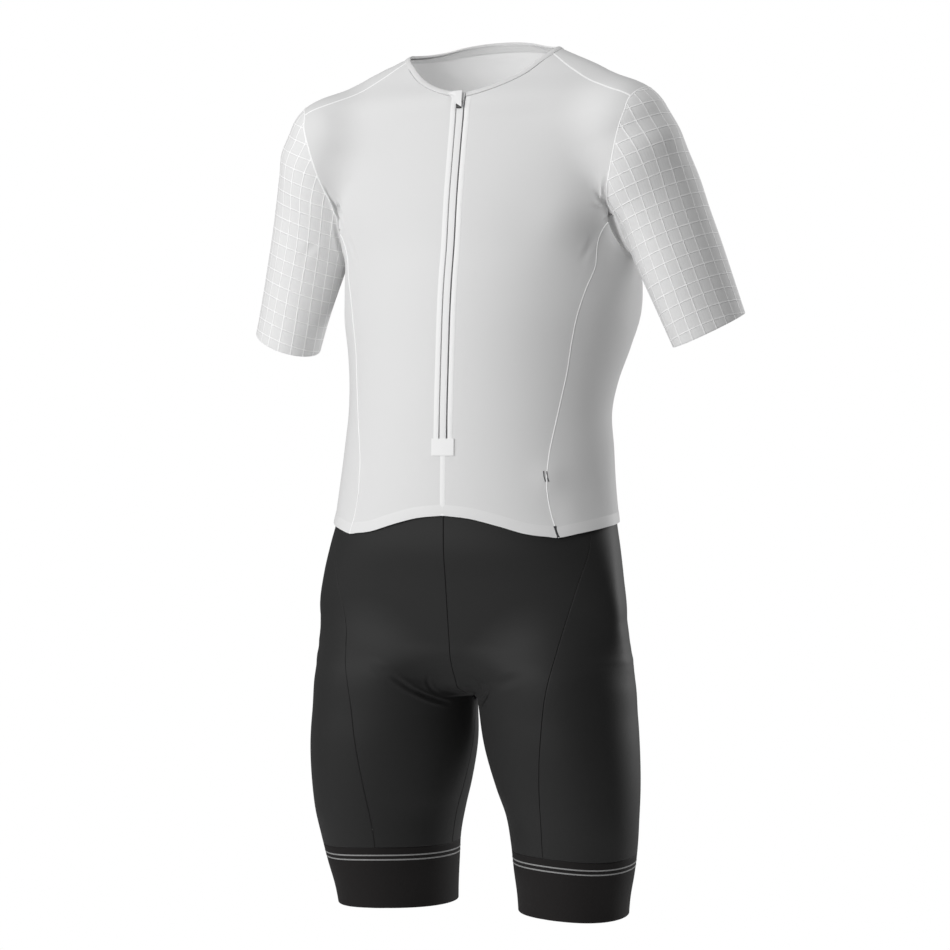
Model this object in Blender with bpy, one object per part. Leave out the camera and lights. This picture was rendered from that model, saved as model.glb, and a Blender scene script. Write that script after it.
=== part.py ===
"""A short-sleeved triathlon suit in its worn form: hollow, open at neck, cuffs and leg hems.

The suit lies on a general figure, given by short tables of sections for torso, arm and leg that
blend into one smooth form. Every cut piece is a grid between its seam lines, laid on that form
and given its wall inward, with a small gap to its neighbours. The front faces -Y, the wearer's
left is +X, and the origin lies between the shoulders at the neck, where the wearer carries it.
"""

import bmesh
import bpy
import numpy as np

MM = 0.001

# Driving dimensions, in metres
WALL = 1.2 * MM
SEAM_GAP = 0.3 * MM
JERSEY_OUT = 3.0 * MM  # how far the jersey's outer face stands off the shorts'
BINDING_WIDTH = 6 * MM
BINDING_OUT, BINDING_WALL = 0.4 * MM, 1.8 * MM
GARAGE_WALL, GARAGE_LOW, GARAGE_HIGH = 1.0 * MM, 1.8 * MM, 3.9 * MM
GARAGE_CELLS = 6
GARAGE_SLOPE = 0.55  # share of the flap, from its bonded edge, in which it rises
STOP_TAPE_WALL = 0.9 * MM
PAD_WALL, PAD_CLEAR = 4 * MM, 3.5 * MM
PAD_ROWS, PAD_CELLS = 20, 7  # cells from front to back, and from its middle to each side
PAD_STEPS = 4
LEAN = 0.02  # how far the chest rises for each metre to the wearer's left
LEAN_LOW, LEAN_HIGH = -500 * MM, -300 * MM  # the heights between which the lean sets in
CUFF_ALONG = 235 * MM  # along the arm, from the shoulder
SHORTS_TOP = -478 * MM
BAND_TOP = -860 * MM
LEG_HEM = -928 * MM

# Grid cells along each stretch of seam
NECK_FRONT, YOKE, NECK_BACK = 6, 5, 12
ARM_FRONT, ARM_UNDER, ARM_BACK = 8, 9, 8
SIDE_ROWS = 12
SLEEVE_ROWS = 10
PLACKET_ROWS = 4
ZIP_ROWS = ARM_FRONT + SIDE_ROWS - PLACKET_ROWS
RISE_ROWS, INSEAM_ROWS = 13, 10
RISE_PACKED, INSEAM_PACKED = 0.45, -0.75  # both lines' rows lie closer together near the crotch
THIGH_FRONT, THIGH_BACK = 9, 14
BAND_ROWS = 3

SHARP_ANGLE = np.radians(50)

JERSEY = (0.72, 0.72, 0.72)
SLEEVE = (0.66, 0.67, 0.68)
BLACK = (0.03, 0.03, 0.032)
BAND = (0.016, 0.014, 0.014)
STRIP = (0.62, 0.62, 0.63)
PAD_FOAM = (0.10, 0.10, 0.11)
SLIDER_BLACK = (0.02, 0.02, 0.02)

# ---------------------------------------------------------------------------- the figure's tables


def table(columns, *rows):
    """Rows in millimetres, kept as one array in metres. `columns` names what each number is."""
    values = np.array(rows, float) * MM
    assert values.shape[1] == len(columns.split())
    return values


TORSO = table(
    "height half_width side_y front_y back_y",
    (-694, 2, 22, 17, 27),
    (-692, 22, 22, -8, 52),
    (-685, 50, 22, -38, 76),
    (-669, 96, 12, -58, 104),
    (-650, 154, -8, -72, 120),
    (-630, 169, -15, -76, 129),
    (-607, 172, -20, -80, 135),
    (-563, 167.5, -18, -87, 135),
    (-534, 162.5, -10, -92, 129),
    (-502, 156, -1, -92.5, 122),
    (-471, 152, 3, -92.5, 117),
    (-428, 148, 9.5, -91.5, 112),
    (-387, 144.5, 14, -90, 114),
    (-358, 147.5, 26, -88, 120),
    (-320, 156, 46, -85, 134),
    (-285, 164, 57, -82, 144),
    (-249, 165, 58, -77, 148),
    (-215, 162, 45, -70, 149),
    (-162, 175, 28, -62, 145),
    (-110, 190, 18, -51, 136),
    (-80, 188, 12, -44, 127),
    (-54, 164, 10, -37, 114),
    (-30, 143, 18, -14, 101),
    (-2, 87, 30, 7, 87),
    (16, 52, 42, 24, 78),
    (32, 30, 48, 34, 68),
)
ARM = table(
    "along shift_out shift_back half_width half_depth",
    (0, 8, -4, 46, 46),
    (25, 7, -2.5, 51, 49.5),
    (50, 4.5, 0, 50.5, 51),
    (80, 5, 4, 47.5, 49),
    (120, 5, 4, 42.5, 46),
    (150, 4.5, 3, 39.5, 45.5),
    (200, 3, 1, 35.5, 43.5),
    (239, 1.5, 0, 34, 41.5),
    (260, 1, 0, 33.5, 41),
)
LEG = table(
    "height centre_x centre_y half_width half_depth",
    (-945, 101.8, 32.8, 58.3, 68),
    (-910, 103.3, 28.8, 60.5, 71.5),
    (-883, 105.1, 24.8, 64.3, 76),
    (-853, 106.5, 20.8, 67.3, 81),
    (-823, 105.6, 17.5, 70.3, 88),
    (-794, 102.3, 13.5, 76, 92.5),
    (-740, 96.5, 6.5, 83, 95.7),
    (-714, 94.7, 3.8, 84.2, 93.5),
    (-655, 91, -1.5, 81.5, 85.5),
    (-610, 88, -4, 58, 60),
    (-570, 80, -8, 25, 28),
)
LEG_TURN, ARM_TURN = np.radians(35), np.radians(-35)
SHOULDER = np.array([160, 7, -92]) * MM
ARM_AXIS = np.array([86.4, 48, -218.0]) / np.linalg.norm([86.4, 48, -218.0])
ARM_BACKWARD = np.cross([1, 0, 0], ARM_AXIS) / np.linalg.norm(np.cross([1, 0, 0], ARM_AXIS))
ARM_OUTWARD = np.cross(ARM_AXIS, ARM_BACKWARD)

# Blend radii where the forms meet
SHOULDER_BLEND, ARMPIT_BLEND = 27 * MM, 5 * MM
SHOULDER_HEIGHT, ARMPIT_HEIGHT = -120 * MM, -180 * MM
HIP_BLEND, GROIN_BLEND, CROTCH_BLEND = 30 * MM, 8 * MM, 6 * MM
HIP_HEIGHT, GROIN_HEIGHT = -655 * MM, -690 * MM

# ---------------------------------------------------------------------------- the seams' tables

POINT = "x y z"
NECK = table(
    POINT,
    (4.5, -37, -47.6),
    (26, -30, -43),
    (56, -10, -29),
    (80, 13, -5),
    (84, 30, 2),
    (74, 57, 11),
    (43, 74, 16),
    (0, 79, 17),
)
NECK_CENTRE = np.array([0, 25, 30]) * MM
YOKE_SEAM = table(
    POINT, (98, 4, -16), (114, -3, -26), (131, -11, -36.5), (154, -24, -47.5), (171, -31, -56.5)
)
ARMHOLE_FRONT = table(
    POINT,
    (185, -31, -63.5),
    (175.8, -43, -97),
    (169.5, -41, -122),
    (162, -31, -147),
    (156.5, -21.5, -163),
    (156, -15.5, -171),
    (158.5, -5, -183.5),
)
ARMHOLE_UNDER = table(
    POINT,
    (158.5, -5, -183.5),
    (160.6, 10, -201),
    (163, 25, -212.5),
    (164.8, 39, -215),
    (165.4, 50, -208),
)
ARMHOLE_BACK = table(
    POINT,
    (165.4, 50, -208),
    (166.3, 65, -181),
    (169, 80, -148),
    (180, 70, -95),
    (192, 36, -58),
    (194.5, 0, -51.5),
    (185, -31, -63.5),
)
FRONT_SIDE = table(
    POINT,
    (158.5, -5, -183.5),
    (155.2, -13, -188.5),
    (150, -12, -206),
    (143.5, -14, -233),
    (138, -22.5, -252),
    (131.5, -31, -275),
    (126, -37, -301),
    (121.5, -41, -336),
    (114, -53, -387),
    (107, -63, -432),
    (105.5, -67, -458),
    (108, -65, -487),
    (114.5, -59, -520),
)
BACK_SIDE = table(
    POINT,
    (165.4, 50, -208),
    (160, 72, -228),
    (142, 110, -290),
    (118, 105, -385),
    (120, 108, -440),
    (130, 104, -503),
)
HEM_FRONT = table(
    POINT, (0, -96, -496), (30, -96, -499), (60, -92, -506), (90, -79, -515), (114.5, -59, -520)
)
HEM_SIDE = table(
    POINT, (114.5, -59, -520), (140, -37, -514), (163, 2, -506), (156, 60, -503), (130, 104, -503)
)
HEM_BACK = table(POINT, (130, 104, -503), (70, 124, -503), (0, 128, -503))
CENTRE_ZIP = table(
    POINT,
    (4.5, -47.6, -88.8),
    (4.5, -65, -162),
    (4.5, -80.6, -270),
    (4.5, -91.6, -375),
    (4.5, -93.6, -418.6),
)
CENTRE_HEM = table(POINT, (0, -94, -425), (0, -94, -460), (0, -96, -496))
RISE_FRONT = table(
    POINT, (0, -94, -470), (0, -94, -516), (0, -85, -575), (0, -75, -642), (0, -54, -688), (0, 20, -704)
)
RISE_BACK = table(
    POINT, (0, 119, -470), (0, 135, -560), (0, 136, -607), (0, 122, -660), (0, 80, -694), (0, 20, -704)
)
INSEAM = table(POINT, (0, 20, -704), (13, 20, -725), (19, 20, -760), (28, 22, -805), (37, 24, -857))
THIGH_SEAM = table(
    POINT,
    (150, -38, -470),
    (146, -45, -530),
    (139, -57, -562),
    (127, -63, -603),
    (118, -77, -646),
    (110.5, -87, -688),
    (105.5, -86, -733),
    (100.6, -76, -782),
    (97, -59, -830),
    (95.5, -50, -857),
)

GARAGE = table(POINT, (-17, -38, -47.5), (0.8, -38, -47.5), (-4, -42, -61.5), (3, -42, -65.5))
SLIDER_PLACE = np.array([-1, -41.5, -62.5]) * MM
SLIDER_SIZE = np.array([7, 2.2, 8]) * MM
SLIDER_TAPER, SLIDER_ROUND = 0.75, 0.6 * MM
STOP_TAPE = table(
    POINT, (-12.5, -94, -433), (12.5, -94, -433), (-12.5, -94, -415), (12.5, -94, -415)
)
PAD = table(
    "x y z half_width",
    (0, -67, -662, 20),
    (0, -56, -682, 30),
    (0, -24, -697, 33),
    (0, 30, -698, 38),
    (0, 74, -690, 50),
    (0, 108, -664, 62),
    (0, 130, -622, 66),
    (0, 134, -592, 50),
)

# ---------------------------------------------------------------------------- curves and tables


def hermite(knots, values, where):
    """Values read at `where` on a smooth curve through the rows."""
    slopes = np.gradient(values, knots, axis=0)
    low = np.clip(np.searchsorted(knots, where, side="right") - 1, 0, len(knots) - 2)
    span = (knots[low + 1] - knots[low])[:, None]
    t = np.clip((where - knots[low])[:, None] / span, 0, 1)
    start, end = values[low], values[low + 1]
    bend = slopes[low] * (t - 1) + slopes[low + 1] * t
    return start + (end - start) * t * t * (3 - 2 * t) + span * t * (t - 1) * bend


def dense(rows, count=600):
    """A table made dense once, for quick reading: its first column even, the others smooth."""
    where = np.linspace(rows[0, 0], rows[-1, 0], count)
    return np.column_stack([where, hermite(rows[:, 0], rows[:, 1:], where)])


def read(rows, where):
    return [np.interp(where, rows[:, 0], column) for column in rows.T[1:]]


def along(points, cells, packed=0.0):
    """Points spaced along a smooth curve through `points`.

    `packed` above 0 moves them closer together towards its end, and below 0 towards its start.
    """
    points = np.asarray(points)
    knots = np.concatenate([[0], np.cumsum(np.linalg.norm(np.diff(points, axis=0), axis=1))])
    fine = hermite(knots, points, np.linspace(0, knots[-1], 400))
    walked = np.concatenate([[0], np.cumsum(np.linalg.norm(np.diff(fine, axis=0), axis=1))])
    share = np.linspace(0, 1, cells + 1)
    share = share + packed * np.sin(np.pi * share) / np.pi
    return np.column_stack([np.interp(share * walked[-1], walked, axis) for axis in fine.T])


def mirrored(points):
    return np.asarray(points) * [-1, 1, 1]


# ---------------------------------------------------------------------------- the figure

TORSO_DENSE, ARM_DENSE, LEG_DENSE = dense(TORSO), dense(ARM), dense(LEG)


def radial_gap(across, deep, half_across, half_deep, beyond=0.0):
    """How far a point lies outside an ellipse, along the line from its centre."""
    reach = np.sqrt((across / half_across) ** 2 + (deep / half_deep) ** 2 + (beyond / half_across) ** 2)
    length = np.sqrt(across**2 + deep**2 + beyond**2) + 1e-9
    return length * (1 - 1 / np.maximum(reach, 1e-3))


def torso_ring_gap(p, height):
    half_width, side_y, front_y, back_y = read(TORSO_DENSE, height)
    deep = p[..., 1] - side_y
    half_deep = np.where(deep < 0, side_y - front_y, back_y - side_y)
    return radial_gap(p[..., 0], deep, half_width, half_deep)


def torso_gap(p):
    step = 2 * MM
    gap = torso_ring_gap(p, p[..., 2])
    slope = (torso_ring_gap(p, p[..., 2] + step) - torso_ring_gap(p, p[..., 2] - step)) / (2 * step)
    above = np.maximum(p[..., 2] - TORSO[-1, 0], 0) + np.maximum(TORSO[0, 0] - p[..., 2], 0)
    return gap / np.sqrt(1 + slope**2) + above


def turned(across, deep, angle):
    """A section's two coordinates, read along axes turned by an angle."""
    return across * np.cos(angle) + deep * np.sin(angle), deep * np.cos(angle) - across * np.sin(angle)


def arm_gap(p, side):
    rel = p * [side, 1, 1] - SHOULDER
    down = rel @ ARM_AXIS
    out, back, half_width, half_depth = read(ARM_DENSE, down)
    across, deep = turned(rel @ ARM_OUTWARD - out, rel @ ARM_BACKWARD - back, ARM_TURN)
    return radial_gap(across, deep, half_width, half_depth, np.minimum(down, 0))


def leg_gap(p, side):
    centre_x, centre_y, half_width, half_depth = read(LEG_DENSE, p[..., 2])
    above = np.maximum(p[..., 2] - LEG[-1, 0], 0)
    across, deep = turned(p[..., 0] * side - centre_x, p[..., 1] - centre_y, LEG_TURN)
    return radial_gap(across, deep, half_width, half_depth) + above


def eased(value, low, high):
    """From 0 at `low` to 1 at `high`, with soft ends."""
    share = np.clip((value - low) / (high - low), 0, 1)
    return share * share * (3 - 2 * share)


def blend(a, b, radius):
    """The nearer of two gaps, rounded where they meet."""
    share = np.clip(0.5 + 0.5 * (b - a) / radius, 0, 1)
    return b + (a - b) * share - radius * share * (1 - share)


def figure_gap(p):
    """How far a point lies outside the figure, and less than zero inside it."""
    legs = blend(leg_gap(p, 1), leg_gap(p, -1), CROTCH_BLEND)
    upper = eased(p[..., 2], GROIN_HEIGHT, HIP_HEIGHT)
    body = blend(torso_gap(p), legs, GROIN_BLEND + (HIP_BLEND - GROIN_BLEND) * upper)
    arms = np.minimum(arm_gap(p, 1), arm_gap(p, -1))
    upper = eased(p[..., 2], ARMPIT_HEIGHT, SHOULDER_HEIGHT)
    return blend(body, arms, ARMPIT_BLEND + (SHOULDER_BLEND - ARMPIT_BLEND) * upper)


def outward(p):
    """The figure's gradient at each point."""
    step = 0.2 * MM
    moves = np.eye(3) * step
    return np.stack([(figure_gap(p + m) - figure_gap(p - m)) / (2 * step) for m in moves], axis=-1)


def unit(vectors):
    return vectors / (np.linalg.norm(vectors, axis=-1, keepdims=True) + 1e-12)


LEAST_SLOPE, LONGEST_MOVE = 0.2, 12 * MM  # they keep each round's move onto the surface small


def laid(p, level, rounds=8):
    """Points moved onto the surface `level` outside the figure."""
    p = np.array(p, float)
    for _ in range(rounds):
        slope = outward(p)
        steep = np.maximum((slope**2).sum(-1), LEAST_SLOPE)
        move = np.clip((figure_gap(p) - level) / steep, -LONGEST_MOVE, LONGEST_MOVE)
        p = p - slope * move[..., None]
    return p


# ---------------------------------------------------------------------------- grids on the figure


KEPT, SHARED = 0.4, 0.15  # how much of its own place a point keeps, and takes of each neighbour's


def patch(bottom, top, left, right, level, rounds=24):
    """A grid of points between four sides, evened out and laid on the figure.

    The grid's rows run from `bottom` to `top`, and its columns from `left` to `right`.
    """
    rows, columns = len(left), len(bottom)
    v = np.linspace(0, 1, rows)[:, None, None]
    u = np.linspace(0, 1, columns)[None, :, None]
    across = left[:, None] * (1 - u) + right[:, None] * u
    upward = bottom[None] * (1 - v) + top[None] * v
    corners = (bottom[0] * (1 - u) + bottom[-1] * u) * (1 - v) + (top[0] * (1 - u) + top[-1] * u) * v
    grid = across + upward - corners
    grid[1:-1, 1:-1] = laid(grid[1:-1, 1:-1], level)
    for _ in range(rounds):
        around = grid[:-2, 1:-1] + grid[2:, 1:-1] + grid[1:-1, :-2] + grid[1:-1, 2:]
        grid[1:-1, 1:-1] = laid(grid[1:-1, 1:-1] * KEPT + around * SHARED, level, 1)
    return grid


def tube(first, last, rows, level, rounds=24):
    """A closed grid from one ring to another, laid on the figure. The rings' ends meet."""
    v = np.linspace(0, 1, rows + 1)[:, None, None]
    grid = first[None] * (1 - v) + last[None] * v
    for _ in range(rounds):
        inner = grid[1:-1, :-1]
        around = grid[:-2, :-1] + grid[2:, :-1] + np.roll(inner, 1, 1) + np.roll(inner, -1, 1)
        inner = laid(inner * KEPT + around * SHARED, level, 1)
        grid[1:-1] = np.concatenate([inner, inner[:, :1]], axis=1)
    grid[1:-1] = laid(grid[1:-1], level, 4)
    return grid


def edge_inset(edge, inside, amount):
    """A side of a grid moved towards the grid's inside, in the surface and square to the side."""
    runs = unit(np.gradient(edge, axis=0))
    normals = unit(outward(edge))
    inward = unit(np.cross(normals, runs))
    facing = np.sign(((inside - edge) * inward).sum(-1, keepdims=True).mean())
    return inward * facing * amount


def with_gaps(grid, closed=False):
    """The grid with half a seam's gap taken off each of its sides."""
    half = SEAM_GAP / 2
    moved = grid.copy()
    moved[0] += edge_inset(grid[0], grid[1], half)
    moved[-1] += edge_inset(grid[-1], grid[-2], half)
    if not closed:
        moved[:, 0] += edge_inset(grid[:, 0], grid[:, 1], half)
        moved[:, -1] += edge_inset(grid[:, -1], grid[:, -2], half)
    return moved


# ---------------------------------------------------------------------------- objects


def fabric(name, colour, roughness=0.7):
    material = bpy.data.materials.get(name) or bpy.data.materials.new(name)
    material.use_nodes = True
    shader = material.node_tree.nodes["Principled BSDF"]
    shader.inputs["Base Color"].default_value = (*colour, 1)
    shader.inputs["Roughness"].default_value = roughness
    return material


def collection_named(name):
    made = bpy.data.collections.new(name)
    bpy.context.scene.collection.children.link(made)
    return made


def add_object(name, bm, material):
    for vertex in bm.verts:
        vertex.co = leaned(np.array(vertex.co))
    bmesh.ops.recalc_face_normals(bm, faces=bm.faces)
    if bm.calc_volume(signed=True) < 0:
        bmesh.ops.reverse_faces(bm, faces=bm.faces)
    mesh = bpy.data.meshes.new(name)
    bm.to_mesh(mesh)
    bm.free()
    mesh.shade_smooth()
    mesh.set_sharp_from_angle(angle=SHARP_ANGLE)
    mesh.materials.append(material)
    made = bpy.data.objects.new(name, mesh)
    SUIT.objects.link(made)
    return made


def leaned(points):
    """Points moved to the stance: the chest leans a little to one side."""
    rise = LEAN * points[..., 0] * eased(points[..., 2], LEAN_LOW, LEAN_HIGH)
    return points + np.stack([0 * rise, 0 * rise, rise], axis=-1)


def cloth(name, grid, material, wall=WALL, closed=False, side=0):
    """A cut piece: the grid as its outer face, extruded inward by its wall.

    With `side` +1 or -1 it stays on that side of the suit's middle, by half a seam's gap.
    """
    rows, columns = grid.shape[:2]
    bm = bmesh.new()
    bmesh.ops.create_grid(bm, x_segments=columns - 1, y_segments=rows - 1, size=1)
    for vertex, point in zip(bm.verts, grid.reshape(-1, 3)):
        vertex.co = point
    if closed:
        bmesh.ops.remove_doubles(bm, verts=bm.verts, dist=0.01 * MM)
    made = bmesh.ops.extrude_face_region(bm, geom=bm.faces[:], use_keep_orig=True)
    inner = [item for item in made["geom"] if isinstance(item, bmesh.types.BMVert)]
    inward = unit(outward(np.array([vertex.co for vertex in inner]))) * -wall
    for vertex, move in zip(inner, inward):
        vertex.co = np.array(vertex.co) + move
    if side:
        for vertex in bm.verts:
            vertex.co.x = side * max(vertex.co.x * side, SEAM_GAP / 2)
    return add_object(name, bm, material)


# ---------------------------------------------------------------------------- the suit's lines


def level_curve(points, cells, level, packed=0.0):
    return laid(along(laid(points, level), cells, packed), level)


def joined(*stretches):
    """Stretches of a line joined end to end, each starting where the last one ended."""
    return np.concatenate([stretches[0]] + [stretch[1:] for stretch in stretches[1:]])


def leg_ring(height, start, turn, cells):
    """Points round the left leg at one height, from an angle through a turn."""
    centre_x, centre_y, half_width, half_depth = read(LEG_DENSE, np.array([height]))
    angles = start + np.linspace(0, turn, cells + 1)
    x = centre_x + half_width * np.cos(angles)
    y = centre_y + half_depth * np.sin(angles)
    return laid(np.stack([x, y, np.full(cells + 1, height)], axis=-1), 0)


def leg_angle(point):
    centre_x, centre_y, half_width, half_depth = (column[0] for column in read(LEG_DENSE, point[2:]))
    return float(np.arctan2((point[1] - centre_y) / half_depth, (point[0] - centre_x) / half_width))


def waist_ring(height, start, end, cells):
    """Points round the torso's left side at one height, from one angle to another."""
    section = read(TORSO_DENSE, np.array([height]))
    half_width, side_y, front_y, back_y = (column[0] for column in section)
    angles = np.linspace(start, end, cells + 1)
    deep = np.where(np.sin(angles) < 0, side_y - front_y, back_y - side_y)
    x = half_width * np.cos(angles)
    y = side_y + deep * np.sin(angles)
    return laid(np.stack([x, y, np.full(cells + 1, height)], axis=-1), 0)


def neck_edge(points, drop):
    """A line that runs `drop` below the neck's edge, down the figure."""
    away = unit(points - NECK_CENTRE)
    slope = unit(outward(points))
    down = unit(away - slope * (away * slope).sum(-1, keepdims=True))
    return points + down * drop


def build_lines():
    """Every seam and edge of the wearer's left half, from its table."""
    out = JERSEY_OUT
    lines = {}
    edge = laid(NECK, out)
    low = laid(neck_edge(edge, BINDING_WIDTH), out)
    shoulder = len(NECK) // 2 - 1
    lines["neck_front"] = laid(along(low[: shoulder + 1], NECK_FRONT), out)
    lines["neck_back"] = laid(along(low[shoulder:], NECK_BACK // 2), out)
    lines["edge_front"] = laid(along(edge[: shoulder + 1], NECK_FRONT), out)
    lines["edge_back"] = laid(along(edge[shoulder:], NECK_BACK // 2), out)
    yoke_points = np.concatenate([low[shoulder : shoulder + 1], YOKE_SEAM, ARMHOLE_FRONT[:1]])
    lines["yoke"] = level_curve(yoke_points, YOKE, out)
    for name, points, cells in (
        ("arm_front", ARMHOLE_FRONT, ARM_FRONT),
        ("arm_under", ARMHOLE_UNDER, ARM_UNDER),
        ("arm_back", ARMHOLE_BACK, ARM_BACK),
        ("front_side", FRONT_SIDE, SIDE_ROWS),
        ("back_side", BACK_SIDE, SIDE_ROWS),
        ("hem_front", HEM_FRONT, NECK_FRONT + YOKE),
        ("hem_side", HEM_SIDE, ARM_UNDER),
        ("hem_back", HEM_BACK, YOKE + NECK_BACK // 2),
    ):
        lines[name] = level_curve(points, cells, out)
    zip_points = np.concatenate([lines["neck_front"][:1], CENTRE_ZIP])
    lines["zip"] = level_curve(zip_points, ZIP_ROWS, out)
    lines["placket"] = level_curve(CENTRE_HEM, PLACKET_ROWS - 1, out)
    for name, points, cells, packed in (
        ("rise_front", RISE_FRONT, RISE_ROWS, RISE_PACKED),
        ("rise_back", RISE_BACK, RISE_ROWS, RISE_PACKED),
        ("inseam", INSEAM, INSEAM_ROWS, INSEAM_PACKED),
        ("thigh", THIGH_SEAM, RISE_ROWS + INSEAM_ROWS, 0),
    ):
        lines[name] = level_curve(points, cells, 0, packed)
    return lines


def front(lines):
    centre = joined(lines["zip"], np.concatenate([lines["zip"][-1:], lines["placket"]]))[::-1]
    top = joined(lines["neck_front"], lines["yoke"])
    side = joined(lines["arm_front"], lines["front_side"])[::-1]
    return patch(lines["hem_front"], top, centre, side, JERSEY_OUT)


def side_panel(lines):
    ahead, behind = lines["front_side"][::-1], lines["back_side"][::-1]
    return patch(lines["hem_side"], lines["arm_under"], ahead, behind, JERSEY_OUT)


def back(lines):
    half_top = joined(lines["yoke"][::-1], lines["neck_back"])
    half_hem = lines["hem_back"]
    side = joined(lines["back_side"][::-1], lines["arm_back"])
    top = joined(half_top, mirrored(half_top)[::-1])
    hem = joined(half_hem, mirrored(half_hem)[::-1])
    return patch(hem, top, side, mirrored(side), JERSEY_OUT)


def sleeve(lines):
    armhole = joined(lines["arm_front"], lines["arm_under"], lines["arm_back"])
    rel = armhole - SHOULDER
    start = np.arctan2(rel[0] @ ARM_BACKWARD, rel[0] @ ARM_OUTWARD)
    later = np.arctan2(rel[ARM_FRONT // 2] @ ARM_BACKWARD, rel[ARM_FRONT // 2] @ ARM_OUTWARD)
    turn = np.sign(np.sin(later - start)) * 2 * np.pi
    angles = start + np.linspace(0, turn, len(armhole))[:, None]
    out, back, half_width, half_depth = read(ARM_DENSE, np.array([CUFF_ALONG]))
    cuff = SHOULDER + ARM_AXIS * CUFF_ALONG + ARM_OUTWARD * out + ARM_BACKWARD * back
    cuff = cuff + ARM_OUTWARD * half_width * np.cos(angles) + ARM_BACKWARD * half_depth * np.sin(angles)
    for _ in range(4):
        cuff = laid(cuff, JERSEY_OUT, 1)
        cuff = cuff - np.outer((cuff - SHOULDER) @ ARM_AXIS - CUFF_ALONG, ARM_AXIS)
    return tube(armhole, cuff, SLEEVE_ROWS, JERSEY_OUT)


def shorts(lines):
    """The left leg's front and back pieces and its band."""
    thigh, inseam = lines["thigh"], lines["inseam"]
    seam_angle, inner_angle = leg_angle(thigh[-1]), leg_angle(inseam[-1])
    inner_angle = inner_angle if inner_angle < seam_angle else inner_angle - 2 * np.pi
    front_turn = inner_angle - seam_angle
    rings = []
    for height in (BAND_TOP, LEG_HEM):
        ahead = leg_ring(height, seam_angle, front_turn, THIGH_FRONT)
        behind = leg_ring(height, seam_angle + front_turn, -2 * np.pi - front_turn, THIGH_BACK)
        rings.append((ahead, behind))
    thigh = np.concatenate([thigh[:-1], rings[0][0][:1]])
    inseam = np.concatenate([inseam[:-1], rings[0][1][:1]])
    section = read(TORSO_DENSE, np.array([SHORTS_TOP]))
    half_width, side_y, front_y, _ = (column[0] for column in section)
    split = np.arctan2((thigh[0, 1] - side_y) / (side_y - front_y), thigh[0, 0] / half_width)
    waist_front = waist_ring(SHORTS_TOP, -np.pi / 2, split, THIGH_FRONT)
    waist_back = waist_ring(SHORTS_TOP, split, np.pi / 2, THIGH_BACK)
    thigh[0] = waist_front[-1]
    rise_front, rise_back = lines["rise_front"].copy(), lines["rise_back"].copy()
    rise_front[0], rise_back[0] = waist_front[0], waist_back[-1]
    ahead, behind = rings[0]
    front_piece = patch(ahead[::-1], waist_front, joined(rise_front, inseam)[::-1], thigh[::-1], 0)
    back_piece = patch(behind[::-1], waist_back, thigh[::-1], joined(rise_back, inseam)[::-1], 0)
    band = tube(joined(ahead, behind), joined(*rings[1]), BAND_ROWS, 0)
    return front_piece, back_piece, band


def neck_binding(lines):
    low = joined(lines["neck_front"], lines["neck_back"])
    edge = joined(lines["edge_front"], lines["edge_back"])
    rows = [joined(mirrored(line), line[::-1]) for line in (low, edge)]
    grid = with_gaps(np.stack(rows))
    return grid + unit(outward(grid)) * BINDING_OUT


def zip_strip(lines):
    """The covered zip between the two fronts, from the neck's edge to the zip's end."""
    side = np.concatenate([lines["edge_front"][:1], lines["zip"]])[::-1]
    middle = laid(side * [0, 1, 1], JERSEY_OUT)
    return with_gaps(np.stack([mirrored(side), middle, side], axis=1))


def four_corners(corners, columns, rows):
    """A plain grid between four points, laid on the jersey's outer face."""
    u = np.linspace(0, 1, columns + 1)[None, :, None]
    v = np.linspace(0, 1, rows + 1)[:, None, None]
    start, end, start_up, end_up = corners
    return laid((start * (1 - u) + end * u) * (1 - v) + (start_up * (1 - u) + end_up * u) * v, JERSEY_OUT)


def zip_garage():
    """A flap bonded along its outer edge, rising over the zip and to its narrow point over the slider."""
    grid = four_corners(GARAGE[[2, 3, 0, 1]], GARAGE_CELLS, GARAGE_CELLS)
    across = np.linspace(0, 1, GARAGE_CELLS + 1)
    rise = eased(np.maximum(across[None, :], across[::-1, None]), 0, GARAGE_SLOPE)
    lift = GARAGE_LOW + (GARAGE_HIGH - GARAGE_LOW) * rise
    return grid + unit(outward(grid)) * lift[..., None]


def zip_slider():
    """The slider's body, lying on the zip with its lower end just below the flap."""
    place = laid(SLIDER_PLACE, JERSEY_OUT + SEAM_GAP + SLIDER_SIZE[1] / 2)
    out = unit(outward(place))
    up = unit(np.array([0, 0, 1]) - out * out[2])
    bm = bmesh.new()
    bmesh.ops.create_cube(bm, size=1)
    for vertex in bm.verts:
        across, deep, high = np.array(vertex.co) * SLIDER_SIZE
        across *= SLIDER_TAPER if high < 0 else 1
        vertex.co = place + np.cross(out, up) * across + out * deep + up * high
    bm.normal_update()
    bmesh.ops.bevel(
        bm, geom=bm.edges[:], offset=SLIDER_ROUND, segments=2, profile=0.5, affect="EDGES", material=-1
    )
    return add_object("zip_slider", bm, fabric("slider_black", SLIDER_BLACK, 0.4))


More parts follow.
